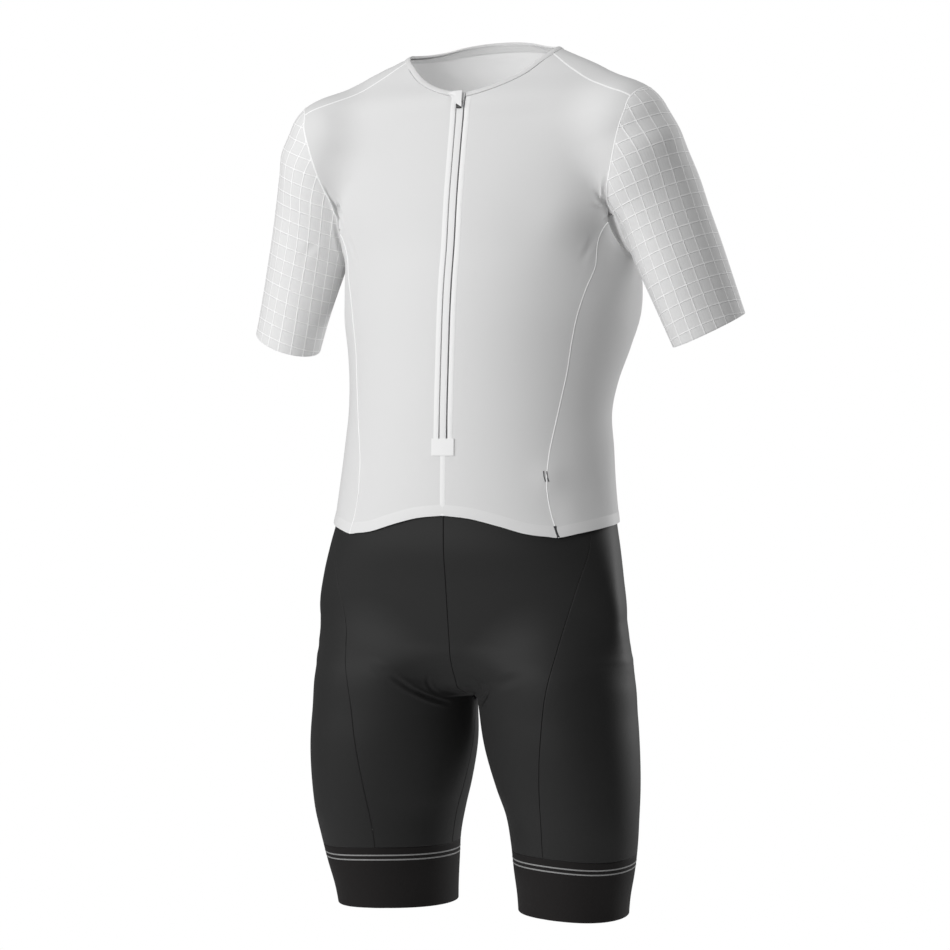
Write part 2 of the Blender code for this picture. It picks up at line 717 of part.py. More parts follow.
def seat_pad():
    """The pad's outer face: rows that walk out to both sides from the middle of the crotch."""
    middle = laid(along(PAD[:, :3], PAD_ROWS), 0)
    reach = np.interp(np.linspace(0, 1, PAD_ROWS + 1), np.linspace(0, 1, len(PAD)), PAD[:, 3])
    walked, heading = middle, np.tile([1.0, 0, 0], (len(middle), 1))
    half = [middle]
    for step in range(1, PAD_CELLS * PAD_STEPS + 1):
        slope = unit(outward(walked))
        heading = unit(heading - slope * (heading * slope).sum(-1, keepdims=True))
        walked = laid(walked + heading * (reach / PAD_CELLS / PAD_STEPS)[:, None], 0, 3)
        if step % PAD_STEPS == 0:
            half.append(walked)
    half = np.stack(half, axis=1)
    grid = np.concatenate([mirrored(half[:, :0:-1]), half], axis=1)
    return grid - unit(outward(grid)) * (WALL + PAD_CLEAR)


def both_sides(name, grid, material, closed=False):
    cloth(f"{name}_left", with_gaps(grid, closed), material, closed=closed, side=1)
    cloth(f"{name}_right", with_gaps(mirrored(grid), closed), material, closed=closed, side=-1)


# ---------------------------------------------------------------------------- building

for item in list(bpy.data.objects):
    bpy.data.objects.remove(item, do_unlink=True)

SUIT = collection_named("triathlon_suit")
LINES = build_lines()

both_sides("front", front(LINES), fabric("jersey_knit", JERSEY))
both_sides("side", side_panel(LINES), fabric("jersey_knit", JERSEY))
cloth("back", with_gaps(back(LINES)), fabric("jersey_knit", JERSEY))
both_sides("sleeve", sleeve(LINES), fabric("ribbed_sleeve_knit", SLEEVE), closed=True)

SHORT_FRONT, SHORT_BACK, LEG_BAND = shorts(LINES)
both_sides("short_front", SHORT_FRONT, fabric("shorts_knit", BLACK))
both_sides("short_back", SHORT_BACK, fabric("shorts_knit", BLACK))
both_sides("leg_band", LEG_BAND, fabric("band_knit", BAND), closed=True)

cloth("neck_binding", neck_binding(LINES), fabric("jersey_knit", JERSEY), wall=BINDING_WALL)
cloth("zip_strip", zip_strip(LINES), fabric("zip_cover", STRIP))
STOP_GRID = four_corners(STOP_TAPE, 4, 3)
STOP_GRID = STOP_GRID + unit(outward(STOP_GRID)) * (SEAM_GAP + STOP_TAPE_WALL)
cloth("zip_stop_tape", STOP_GRID, fabric("zip_cover", STRIP), wall=STOP_TAPE_WALL)
cloth("zip_garage", zip_garage(), fabric("jersey_knit", JERSEY), wall=GARAGE_WALL)
zip_slider()
cloth("seat_pad", seat_pad(), fabric("pad_foam", PAD_FOAM), wall=PAD_WALL)
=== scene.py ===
"""The look of a short-sleeved triathlon suit in its worn form, made over its plain solids.

Each cut piece is laid again on the same general figure as its solid, with finer cells, rolled
edges and the folds that a close-fitting stretch knit takes at armpit, groin, waist and seat.
The bonded tapes, zip, stripes and stitches are thin pieces laid on the cloth. The front faces
-Y, and the wearer's left is +X.
"""

import bmesh
import bpy
import numpy as np
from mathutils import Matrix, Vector


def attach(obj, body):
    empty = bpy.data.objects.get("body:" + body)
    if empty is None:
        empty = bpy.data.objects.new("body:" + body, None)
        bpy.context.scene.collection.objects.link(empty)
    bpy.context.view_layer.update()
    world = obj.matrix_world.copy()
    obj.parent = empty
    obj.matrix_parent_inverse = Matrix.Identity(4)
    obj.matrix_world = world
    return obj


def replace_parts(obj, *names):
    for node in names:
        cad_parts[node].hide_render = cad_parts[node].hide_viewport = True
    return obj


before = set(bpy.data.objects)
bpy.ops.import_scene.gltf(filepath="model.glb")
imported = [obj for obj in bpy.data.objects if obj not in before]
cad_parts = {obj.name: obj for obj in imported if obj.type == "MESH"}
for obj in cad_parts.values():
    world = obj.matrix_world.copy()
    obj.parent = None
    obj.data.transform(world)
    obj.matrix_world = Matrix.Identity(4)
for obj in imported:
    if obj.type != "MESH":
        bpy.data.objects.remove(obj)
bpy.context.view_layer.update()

MM = 0.001

# Driving dimensions, in metres
WALL = 1.2 * MM
SEAM_GAP = 0.3 * MM
JERSEY_OUT = 3.0 * MM  # how far the jersey's outer face stands off the shorts'
BINDING_WIDTH = 6 * MM
BINDING_OUT, BINDING_WALL, BINDING_DOME = 0.4 * MM, 1.8 * MM, 0.5 * MM
GARAGE_WALL, GARAGE_LOW, GARAGE_HIGH = 1.0 * MM, 1.8 * MM, 3.9 * MM
GARAGE_CELLS = 6  # along each side of the flap
GARAGE_SLOPE = 0.55  # share of the flap, from its bonded edge, in which it rises
STOP_TAPE_WALL = 0.9 * MM
PAD_WALL, PAD_LEVEL = 4 * MM, -(WALL + 3.5 * MM)  # the pad's outer face lies clear of the shorts
PAD_ROWS, PAD_CELLS = 20, 7  # cells from front to back, and from its middle to each side
PAD_STEPS = 4  # steps over each of its cells
LEAN = 0.02  # how far the chest rises for each metre to the wearer's left
LEAN_LOW, LEAN_HIGH = -500 * MM, -300 * MM  # the heights between which the lean sets in
CUFF_ALONG = 235 * MM  # along the arm, from the shoulder
SHORTS_TOP = -478 * MM
BAND_TOP = -860 * MM
LEG_HEM = -928 * MM

# Grid cells along each stretch of seam
NECK_FRONT, YOKE, NECK_BACK = 6, 5, 12
ARM_FRONT, ARM_UNDER, ARM_BACK = 8, 9, 8
SIDE_ROWS = 12
SLEEVE_ROWS = 10
PLACKET_ROWS = 4
ZIP_ROWS = ARM_FRONT + SIDE_ROWS - PLACKET_ROWS
RISE_ROWS, INSEAM_ROWS = 13, 10
RISE_PACKED, INSEAM_PACKED = 0.45, -0.75  # both lines' rows lie closer together near the crotch
THIGH_FRONT, THIGH_BACK = 9, 14
BAND_ROWS = 3
STOP_COLUMNS, STOP_ROWS = 4, 3
STRIPE_CELLS, ALLOWANCE_CELLS, MARK_CELLS, PLACKET_TAPE_CELLS = 24, 30, 6, 6
BINDING_LINES = 6  # lines of points from the binding's seam to its edge

DETAIL = 7  # fine cells along each side of a solid's cell
ROLL_SINK = 0.45 * MM  # how far a cut piece's edge turns in towards its seam
EDGE_REACH = np.array([0.9, 1.8, 2.9, 4.2]) * MM  # finer lines close to each edge, for its roll and creases
EDGE_SHARES = np.array([0.2, 0.4, 0.6, 0.8])  # the most of a cell that each of them may take
SHARP_ANGLE = np.radians(50)
MERGE = 0.005 * MM  # points nearer than this are one
TAPE_WALL, STRIPE_WALL, WOVEN_WALL = 0.3 * MM, 0.2 * MM, 0.4 * MM
FACING_MIDDLE, ZIP_TAPE_AWAY, NECK_TAPE_DROP = 6 * MM, 3.4 * MM, 1 * MM  # each from its edge
TABLE_ROWS, CURVE_POINTS = 600, 400  # in a dense table, and along a smooth curve before it is spaced
EVENING = 24  # rounds that even out a grid
FOLD_POINTS = 110  # along a fold's line; with far fewer its sides are scalloped

# ---- the figure's tables


def table(columns, *rows):
    """Rows in millimetres, kept as one array in metres. `columns` names what each number is."""
    values = np.array(rows, float) * MM
    assert values.shape[1] == len(columns.split())
    return values


def path(*points):
    return table("x y z", *points)


TORSO = table(
    "height half_width side_y front_y back_y",
    (-694, 2, 22, 17, 27),
    (-692, 22, 22, -8, 52),
    (-685, 50, 22, -38, 76),
    (-669, 96, 12, -58, 104),
    (-650, 154, -8, -72, 120),
    (-630, 169, -15, -76, 129),
    (-607, 172, -20, -80, 135),
    (-563, 167.5, -18, -87, 135),
    (-534, 162.5, -10, -92, 129),
    (-502, 156, -1, -92.5, 122),
    (-471, 152, 3, -92.5, 117),
    (-428, 148, 9.5, -91.5, 112),
    (-387, 144.5, 14, -90, 114),
    (-358, 147.5, 26, -88, 120),
    (-320, 156, 46, -85, 134),
    (-285, 164, 57, -82, 144),
    (-249, 165, 58, -77, 148),
    (-215, 162, 45, -70, 149),
    (-162, 175, 28, -62, 145),
    (-110, 190, 18, -51, 136),
    (-80, 188, 12, -44, 127),
    (-54, 164, 10, -37, 114),
    (-30, 143, 18, -14, 101),
    (-2, 87, 30, 7, 87),
    (16, 52, 42, 24, 78),
    (32, 30, 48, 34, 68),
)
ARM = table(
    "along shift_out shift_back half_width half_depth",
    (0, 8, -4, 46, 46),
    (25, 7, -2.5, 51, 49.5),
    (50, 4.5, 0, 50.5, 51),
    (80, 5, 4, 47.5, 49),
    (120, 5, 4, 42.5, 46),
    (150, 4.5, 3, 39.5, 45.5),
    (200, 3, 1, 35.5, 43.5),
    (239, 1.5, 0, 34, 41.5),
    (260, 1, 0, 33.5, 41),
)
LEG = table(
    "height centre_x centre_y half_width half_depth",
    (-945, 101.8, 32.8, 58.3, 68),
    (-910, 103.3, 28.8, 60.5, 71.5),
    (-883, 105.1, 24.8, 64.3, 76),
    (-853, 106.5, 20.8, 67.3, 81),
    (-823, 105.6, 17.5, 70.3, 88),
    (-794, 102.3, 13.5, 76, 92.5),
    (-740, 96.5, 6.5, 83, 95.7),
    (-714, 94.7, 3.8, 84.2, 93.5),
    (-655, 91, -1.5, 81.5, 85.5),
    (-610, 88, -4, 58, 60),
    (-570, 80, -8, 25, 28),
)
LEG_TURN, ARM_TURN = np.radians(35), np.radians(-35)
SHOULDER = np.array([160, 7, -92]) * MM
ARM_AXIS = np.array([86.4, 48, -218.0]) / np.linalg.norm([86.4, 48, -218.0])
ARM_BACKWARD = np.cross([1, 0, 0], ARM_AXIS) / np.linalg.norm(np.cross([1, 0, 0], ARM_AXIS))
ARM_OUTWARD = np.cross(ARM_AXIS, ARM_BACKWARD)

# Blend radii where the forms meet
SHOULDER_BLEND, ARMPIT_BLEND = 27 * MM, 5 * MM
SHOULDER_HEIGHT, ARMPIT_HEIGHT = -120 * MM, -180 * MM
HIP_BLEND, GROIN_BLEND, CROTCH_BLEND = 30 * MM, 8 * MM, 6 * MM
HIP_HEIGHT, GROIN_HEIGHT = -655 * MM, -690 * MM

# ---- the seams' tables

NECK = path(
    (4.5, -37, -47.6), (26, -30, -43), (56, -10, -29), (80, 13, -5), (84, 30, 2), (74, 57, 11),
    (43, 74, 16), (0, 79, 17),
)
NECK_CENTRE = np.array([0, 25, 30]) * MM
YOKE_SEAM = path(
    (98, 4, -16), (114, -3, -26), (131, -11, -36.5), (154, -24, -47.5), (171, -31, -56.5),
)
JERSEY_SEAMS = {  # the left half's seams and hems, each with its cells
    "arm_front": (ARM_FRONT, (
        (185, -31, -63.5), (175.8, -43, -97), (169.5, -41, -122), (162, -31, -147), (156.5, -21.5, -163),
        (156, -15.5, -171), (158.5, -5, -183.5),
    )),
    "arm_under": (ARM_UNDER, (
        (158.5, -5, -183.5), (160.6, 10, -201), (163, 25, -212.5), (164.8, 39, -215), (165.4, 50, -208),
    )),
    "arm_back": (ARM_BACK, (
        (165.4, 50, -208), (166.3, 65, -181), (169, 80, -148), (180, 70, -95), (192, 36, -58),
        (194.5, 0, -51.5), (185, -31, -63.5),
    )),
    "front_side": (SIDE_ROWS, (
        (158.5, -5, -183.5), (155.2, -13, -188.5), (150, -12, -206), (143.5, -14, -233), (138, -22.5, -252),
        (131.5, -31, -275), (126, -37, -301), (121.5, -41, -336), (114, -53, -387), (107, -63, -432),
        (105.5, -67, -458), (108, -65, -487), (114.5, -59, -520),
    )),
    "back_side": (SIDE_ROWS, (
        (165.4, 50, -208), (160, 72, -228), (142, 110, -290), (118, 105, -385), (120, 108, -440),
        (130, 104, -503),
    )),
    "hem_front": (NECK_FRONT + YOKE, (
        (0, -96, -496), (30, -96, -499), (60, -92, -506), (90, -79, -515), (114.5, -59, -520),
    )),
    "hem_side": (ARM_UNDER, (
        (114.5, -59, -520), (140, -37, -514), (163, 2, -506), (156, 60, -503), (130, 104, -503),
    )),
    "hem_back": (YOKE + NECK_BACK // 2, ((130, 104, -503), (70, 124, -503), (0, 128, -503))),
}
SHORTS_SEAMS = {  # each with its cells and how its rows are packed
    "rise_front": (RISE_ROWS, RISE_PACKED, (
        (0, -94, -470), (0, -94, -516), (0, -85, -575), (0, -75, -642), (0, -54, -688), (0, 20, -704),
    )),
    "rise_back": (RISE_ROWS, RISE_PACKED, (
        (0, 119, -470), (0, 135, -560), (0, 136, -607), (0, 122, -660), (0, 80, -694), (0, 20, -704),
    )),
    "inseam": (INSEAM_ROWS, INSEAM_PACKED, (
        (0, 20, -704), (13, 20, -725), (19, 20, -760), (28, 22, -805), (37, 24, -857),
    )),
    "thigh": (RISE_ROWS + INSEAM_ROWS, 0, (
        (150, -38, -470), (146, -45, -530), (139, -57, -562), (127, -63, -603), (118, -77, -646),
        (110.5, -87, -688), (105.5, -86, -733), (100.6, -76, -782), (97, -59, -830), (95.5, -50, -857),
    )),
}
CENTRE_ZIP = path(
    (4.5, -47.6, -88.8), (4.5, -65, -162), (4.5, -80.6, -270), (4.5, -91.6, -375),
    (4.5, -93.6, -418.6),
)
CENTRE_HEM = path((0, -94, -425), (0, -94, -460), (0, -96, -496))

GARAGE = path((-17, -38, -47.5), (0.8, -38, -47.5), (-4, -42, -61.5), (3, -42, -65.5))
SLIDER_PLACE = np.array([-1, -41.5, -62.5]) * MM
SLIDER_SIZE = np.array([7, 2.2, 8]) * MM
SLIDER_TAPER, SLIDER_ROUND = 0.75, 0.6 * MM
STOP_TAPE = path((-12.5, -94, -433), (12.5, -94, -433), (-12.5, -94, -415), (12.5, -94, -415))
PAD = table(
    "x y z half_width",
    (0, -67, -662, 20),
    (0, -56, -682, 30),
    (0, -24, -697, 33),
    (0, 30, -698, 38),
    (0, 74, -690, 50),
    (0, 108, -664, 62),
    (0, 130, -622, 66),
    (0, 134, -592, 50),
)

# ---- curves and tables


def hermite(knots, values, where):
    """Values read at `where` on a smooth curve through the rows."""
    slopes = np.gradient(values, knots, axis=0)
    low = np.clip(np.searchsorted(knots, where, side="right") - 1, 0, len(knots) - 2)
    span = (knots[low + 1] - knots[low])[:, None]
    t = np.clip((where - knots[low])[:, None] / span, 0, 1)
    start, end = values[low], values[low + 1]
    bend = slopes[low] * (t - 1) + slopes[low + 1] * t
    return start + (end - start) * t * t * (3 - 2 * t) + span * t * (t - 1) * bend


def dense(rows):
    """A table made dense once, for quick reading: its first column even, the others smooth."""
    where = np.linspace(rows[0, 0], rows[-1, 0], TABLE_ROWS)
    return np.column_stack([where, hermite(rows[:, 0], rows[:, 1:], where)])


def read(rows, where):
    """Each column of a dense table after its first, at one place or at many."""
    return [np.interp(where, rows[:, 0], column) for column in rows.T[1:]]


def along(points, cells, packed=0.0):
    """Points spaced along a smooth curve through `points`.

    `packed` above 0 moves them closer together towards its end, and below 0 towards its start.
    """
    points = np.asarray(points)
    knots = np.concatenate([[0], np.cumsum(np.linalg.norm(np.diff(points, axis=0), axis=1))])
    fine = hermite(knots, points, np.linspace(0, knots[-1], CURVE_POINTS))
    walked = np.concatenate([[0], np.cumsum(np.linalg.norm(np.diff(fine, axis=0), axis=1))])
    share = np.linspace(0, 1, cells + 1)
    share = share + packed * np.sin(np.pi * share) / np.pi
    return np.column_stack([np.interp(share * walked[-1], walked, axis) for axis in fine.T])


def mirrored(points):
    return np.asarray(points) * [-1, 1, 1]


def between(start, end, share):
    return start * (1 - share) + end * share


# ---- the figure

TORSO_DENSE, ARM_DENSE, LEG_DENSE = dense(TORSO), dense(ARM), dense(LEG)


def radial_gap(across, deep, half_across, half_deep, beyond=0.0):
    """How far a point lies outside an ellipse, along the line from its centre."""
    reach = np.sqrt((across / half_across) ** 2 + (deep / half_deep) ** 2 + (beyond / half_across) ** 2)
    length = np.sqrt(across**2 + deep**2 + beyond**2) + 1e-9
    return length * (1 - 1 / np.maximum(reach, 1e-3))


def torso_ring_gap(p, height):
    half_width, side_y, front_y, back_y = read(TORSO_DENSE, height)
    deep = p[..., 1] - side_y
    half_deep = np.where(deep < 0, side_y - front_y, back_y - side_y)
    return radial_gap(p[..., 0], deep, half_width, half_deep)


def torso_gap(p):
    step = 2 * MM
    gap = torso_ring_gap(p, p[..., 2])
    slope = (torso_ring_gap(p, p[..., 2] + step) - torso_ring_gap(p, p[..., 2] - step)) / (2 * step)
    above = np.maximum(p[..., 2] - TORSO[-1, 0], 0) + np.maximum(TORSO[0, 0] - p[..., 2], 0)
    return gap / np.sqrt(1 + slope**2) + above


def turned(across, deep, angle):
    """A section's two coordinates, read along axes turned by an angle."""
    return across * np.cos(angle) + deep * np.sin(angle), deep * np.cos(angle) - across * np.sin(angle)


def arm_gap(p, side):
    rel = p * [side, 1, 1] - SHOULDER
    down = rel @ ARM_AXIS
    out, back, half_width, half_depth = read(ARM_DENSE, down)
    across, deep = turned(rel @ ARM_OUTWARD - out, rel @ ARM_BACKWARD - back, ARM_TURN)
    return radial_gap(across, deep, half_width, half_depth, np.minimum(down, 0))


def leg_gap(p, side):
    centre_x, centre_y, half_width, half_depth = read(LEG_DENSE, p[..., 2])
    above = np.maximum(p[..., 2] - LEG[-1, 0], 0)
    across, deep = turned(p[..., 0] * side - centre_x, p[..., 1] - centre_y, LEG_TURN)
    return radial_gap(across, deep, half_width, half_depth) + above


def eased(value, low, high):
    """From 0 at `low` to 1 at `high`, with soft ends."""
    share = np.clip((value - low) / (high - low), 0, 1)
    return share * share * (3 - 2 * share)


def blend(a, b, radius):
    """The nearer of two gaps, rounded where they meet."""
    share = np.clip(0.5 + 0.5 * (b - a) / radius, 0, 1)
    return b + (a - b) * share - radius * share * (1 - share)


def figure_gap(p):
    """How far a point lies outside the figure, and less than zero inside it."""
    legs = blend(leg_gap(p, 1), leg_gap(p, -1), CROTCH_BLEND)
    upper = eased(p[..., 2], GROIN_HEIGHT, HIP_HEIGHT)
    body = blend(torso_gap(p), legs, GROIN_BLEND + (HIP_BLEND - GROIN_BLEND) * upper)
    arms = np.minimum(arm_gap(p, 1), arm_gap(p, -1))
    upper = eased(p[..., 2], ARMPIT_HEIGHT, SHOULDER_HEIGHT)
    return blend(body, arms, ARMPIT_BLEND + (SHOULDER_BLEND - ARMPIT_BLEND) * upper)


def outward(p):
    """The figure's gradient at each point."""
    step = 0.2 * MM
    moves = np.eye(3) * step
    return np.stack([(figure_gap(p + m) - figure_gap(p - m)) / (2 * step) for m in moves], axis=-1)


def unit(vectors):
    return vectors / (np.linalg.norm(vectors, axis=-1, keepdims=True) + 1e-12)


def normals(p):
    return unit(outward(p))


def raised(p, height):
    """Points moved out from the figure."""
    return p + normals(p) * height


LEAST_SLOPE, LONGEST_MOVE = 0.2, 12 * MM  # they keep each round's move onto the surface small


def laid(p, level=JERSEY_OUT, rounds=8):
    """Points moved onto the surface `level` outside the figure."""
    p = np.array(p, float)
    for _ in range(rounds):
        slope = outward(p)
        steep = np.maximum((slope**2).sum(-1), LEAST_SLOPE)
        move = np.clip((figure_gap(p) - level) / steep, -LONGEST_MOVE, LONGEST_MOVE)
        p = p - slope * move[..., None]
    return p


# ---- grids on the figure


KEPT, SHARED = 0.4, 0.15  # how much of its own place a point keeps, and takes of each neighbour's


def patch(bottom, top, left, right, level=JERSEY_OUT):
    """A grid of points between four sides, evened out and laid on the figure.

    The grid's rows run from `bottom` to `top`, and its columns from `left` to `right`.
    """
    rows, columns = len(left), len(bottom)
    v = np.linspace(0, 1, rows)[:, None, None]
    u = np.linspace(0, 1, columns)[None, :, None]
    across, upward = between(left[:, None], right[:, None], u), between(bottom, top, v)
    corners = between(between(bottom[0], bottom[-1], u), between(top[0], top[-1], u), v)
    grid = across + upward - corners
    grid[1:-1, 1:-1] = laid(grid[1:-1, 1:-1], level)
    for _ in range(EVENING):
        around = grid[:-2, 1:-1] + grid[2:, 1:-1] + grid[1:-1, :-2] + grid[1:-1, 2:]
        grid[1:-1, 1:-1] = laid(grid[1:-1, 1:-1] * KEPT + around * SHARED, level, rounds=1)
    return grid


def tube(first, last, rows, level=JERSEY_OUT):
    """A closed grid from one ring to another, laid on the figure. The rings' ends meet."""
    v = np.linspace(0, 1, rows + 1)[:, None, None]
    grid = between(first, last, v)
    for _ in range(EVENING):
        inner = grid[1:-1, :-1]
        around = grid[:-2, :-1] + grid[2:, :-1] + np.roll(inner, 1, 1) + np.roll(inner, -1, 1)
        inner = laid(inner * KEPT + around * SHARED, level, rounds=1)
        grid[1:-1] = np.concatenate([inner, inner[:, :1]], axis=1)
    grid[1:-1] = laid(grid[1:-1], level, rounds=4)
    return grid


def edge_inset(edge, inside):
    """The way, half a seam's gap long, from a side of a grid towards its inside."""
    inward = unit(np.cross(normals(edge), unit(np.gradient(edge, axis=0))))
    facing = np.sign(((inside - edge) * inward).sum(-1, keepdims=True).mean())
    return inward * facing * (SEAM_GAP / 2)


def with_gaps(grid, closed=False):
    """The grid with half a seam's gap taken off each of its sides."""
    moved = grid.copy()
    ways = [(grid, moved)] if closed else [(grid, moved), (grid.swapaxes(0, 1), moved.swapaxes(0, 1))]
    for before, after in ways:
        after[0] += edge_inset(before[0], before[1])
        after[-1] += edge_inset(before[-1], before[-2])
    return moved


# ---- finer grids


def smooth_line(values, closed=False):
    """Rows read more finely on a smooth curve through them; a closed line's ends meet smoothly."""
    shape = values.shape
    flat = values.reshape(shape[0], -1)
    knots = np.arange(shape[0], dtype=float)
    where = np.linspace(0, shape[0] - 1, (shape[0] - 1) * DETAIL + 1)
    if closed:
        flat = np.concatenate([flat[-3:-1], flat, flat[1:3]])
        knots = np.arange(-2, shape[0] + 2, dtype=float)
    return hermite(knots, flat, where).reshape(len(where), *shape[1:])


def fine_line(points, closed=False):
    return laid(smooth_line(points, closed), rounds=3)


def refined(grid, level, closed=False):
    """A solid's grid with finer cells, laid on the figure again. Its sides keep to the seam lines."""
    rows = smooth_line(grid)
    return laid(smooth_line(rows.swapaxes(0, 1), closed).swapaxes(0, 1), level, rounds=3)


def beside_edges(grid, level):
    """The grid with more lines of points close to its first and last lines."""

    def near(edge, inside):
        step = inside - edge
        length = np.linalg.norm(step, axis=-1, keepdims=True)
        shares = np.minimum(EDGE_REACH[:, None, None] / (length + 1e-9), EDGE_SHARES[:, None, None])
        return laid(edge + step * shares, level, rounds=2)

    parts = [grid[:1], near(grid[0], grid[1]), grid[1:-1], near(grid[-1], grid[-2])[::-1], grid[-1:]]
    return np.concatenate(parts)


def edged(grid, level, closed):
    """The grid ready for rolled edges, and how deep each of its points sinks for them."""
    grid = beside_edges(grid, level)
    if not closed:
        grid = beside_edges(grid.swapaxes(0, 1), level).swapaxes(0, 1)
    sink = np.zeros(grid.shape[:2])
    sink[[0, -1]] = ROLL_SINK
    if not closed:
        sink[:, [0, -1]] = ROLL_SINK
    return grid, sink


# ---- folds


def fold(width, depth, *points, lips=0.42):
    """A fold along a line of points: its half width, how deep it is pressed in, and its line.

    `lips` is how high the cloth stands up on both sides of it, as a share of its depth.
    """
    line = along(np.array(points, float) * MM, FOLD_POINTS)
    return width * MM, depth * MM, lips, laid(line, JERSEY_OUT if line[0, 2] > SHORTS_TOP else 0)


FOLDS = [  # each with its half width and depth in mm
    # The wearer's right armpit: two long folds from the armhole seam and a short one below
    (1.5, 3.4, (-157, -28, -155), (-154.5, -23, -162), (-152, -18, -171), (-148, -15, -191)),
    (1.4, 2.2, (-154, -29, -150), (-150, -25, -159), (-146, -23, -169), (-143, -23, -179)),
    (3.5, 0.8, (-143, -27, -196), (-138, -34, -212), (-131, -40, -224)),
    # Both armpits: the hollow in which sleeve and side meet
    (2.8, 2.6, (155, -20, -166), (156, -14, -174), (158.5, -5, -186), (161, 12, -203), (164, 32, -215)),
    (2.6, 2.4, (-154, -18, -170), (-158, -6, -185), (-161, 12, -203), (-164, 32, -215)),
    # The wearer's left armpit: short folds running down into the seam, and a long soft one below
    (1.7, 2.6, (145, -26, -158), (150.6, -20, -168), (154, -14, -177)),
    (1.5, 1.9, (141, -26, -171), (148.4, -20, -175), (154, -14, -179)),
    (3.4, 0.8, (147, -20, -206), (140, -27, -222), (133, -33, -232)),
    # Behind both armpits
    (3.2, 1.3, (150, 84, -196), (140, 103, -212), (126, 121, -222)),
    (3.8, 0.9, (152, 80, -176), (143, 101, -186), (133, 116, -190)),
    (3.0, 1.2, (-151, 84, -192), (-142, 102, -205), (-129, 119, -213)),
    (4.2, 0.8, (-146, 98, -232), (-137, 111, -243), (-124, 123, -248)),
    # Sleeves: soft folds round the inner arm and the crook
    (3.6, 0.9, (178, -20, -196), (190, -12, -206), (203, -6, -212)),
    (4.4, 0.7, (214, 86, -246), (204, 92, -250), (192, 88, -258)),
    (3.8, 0.8, (-180, -18, -200), (-191, -10, -207), (-202, -5, -214)),
    (4.0, 0.8, (-206, 88, -232), (-196, 92, -240), (-186, 84, -250)),
    # The groin, from the hip towards the crotch
    (2.2, 1.6, (-64, -82, -669), (-57, -79, -673.5), (-45, -71, -683)),
    (1.7, 3.0, (-52, -75, -678), (-45, -71, -683), (-32, -58, -692), (-23, -45, -697), (-16, -32, -701)),
    (1.4, 3.2, (45, -71, -679), (40, -66, -686), (34, -59, -693), (27, -50, -700), (21, -39, -706)),
    (4.5, 0.7, (-88, -84, -655), (-76, -84, -662), (-62, -81, -668)),
    (4.2, 0.6, (84, -84, -664), (68, -80, -670), (52, -74, -676)),
    # Under the seat
    (4.0, 1.5, (34, 88, -690), (58, 98, -686), (86, 100, -680), (108, 94, -672)),
    (3.4, 0.9, (48, 84, -704), (66, 90, -702), (84, 90, -698)),
    (3.8, 1.3, (-34, 88, -692), (-60, 98, -689), (-92, 99, -681)),
    (3.0, 0.8, (-54, 86, -706), (-72, 90, -705), (-94, 88, -698)),
    # The backs of the thighs above the bands
    (4.2, 0.7, (80, 94, -806), (98, 98, -812), (116, 93, -814)),
    (3.6, 0.6, (96, 96, -836), (112, 94, -839), (126, 86, -840)),
    (4.0, 0.8, (-84, 94, -812), (-104, 97, -815), (-120, 92, -820)),
    (3.4, 0.5, (-92, 96, -838), (-106, 95, -842), (-118, 90, -843)),
    # The small of the back
    (5.0, 0.8, (-52, 112, -402), (-24, 114, -398), (10, 115, -400)),
    (5.6, 0.6, (-6, 113, -424), (26, 113, -420), (54, 111, -424)),
    (4.6, 0.6, (60, 112, -384), (84, 110, -380), (104, 106, -384)),
    (4.6, 0.5, (-104, 107, -394), (-86, 110, -390), (-66, 112, -392)),
    # The pad's edge shows through the front of the crotch
    (1.6, 1.0, (-23, -68, -662), (-29, -64, -668), (-31, -61, -674), (-29, -57, -682), (-23, -46, -690)),
    (1.5, 1.2, (19, -62, -666), (26, -60, -672), (29, -58, -679), (29, -55, -688), (24, -44, -697)),
]
FOLDS = [fold(*row) for row in FOLDS]
# Round both hips, where the cloth is stretched smooth from trunk to thigh: raised where depth is below 0
HIP_RING = ((112, -76), (148, -50), (170, -10), (164, 45), (120, 95))  # the left hip's x and y
for sign, height, width, depth in (
    (1, -638, 9.0, -0.9),
    (1, -656.5, 4.5, 0.9),
    (1, -668, 4.0, -0.6),
    (-1, -637, 9.0, -2.1),
    (-1, -657, 4.5, 0.4),
    (-1, -668, 4.0, -0.3),
):
    FOLDS.append(fold(width, depth, *[(sign * x, y, height) for x, y in HIP_RING], lips=0))
LIP_AWAY, LIP_WIDE = 2.1, 0.9  # where a fold's two raised sides stand, in its own half widths
FOLD_REACH = 5  # half widths beyond which a fold moves nothing
FOLD_END, FOLD_TAPER = 0.02, 0.7  # how near its line's ends a fold still thins, and how fast

SWELLS = [  # broad soft forms, each by its place, reach and height in mm
    ((-2, -56, -676), 16, 2.4),  # the pad's front end
    ((108, -66, -456), 15, 1.8),  # both pockets' mouths, of which the left stands open a little more
    ((-108, -66, -456), 13, 1.0),
    ((138, -36, -470), 26, -1.6),  # the hollow behind the left pocket, and the cloth below it
    ((128, -50, -492), 16, 0.9),
    ((-70, -72, -662), 22, 1.2),  # the right groin
    ((114, -48, -192), 30, 3.2),  # the chest stands out beside the left armpit's hollow
    ((147, -8, -206), 24, -5.5),  # that hollow
    ((-112, -56, -190), 34, 1.4),  # the chest beside the right armpit
    ((122, -36, -80), 30, 2.5),  # the fronts of the shoulders
    ((-132, -42, -90), 32, 3.0),
]


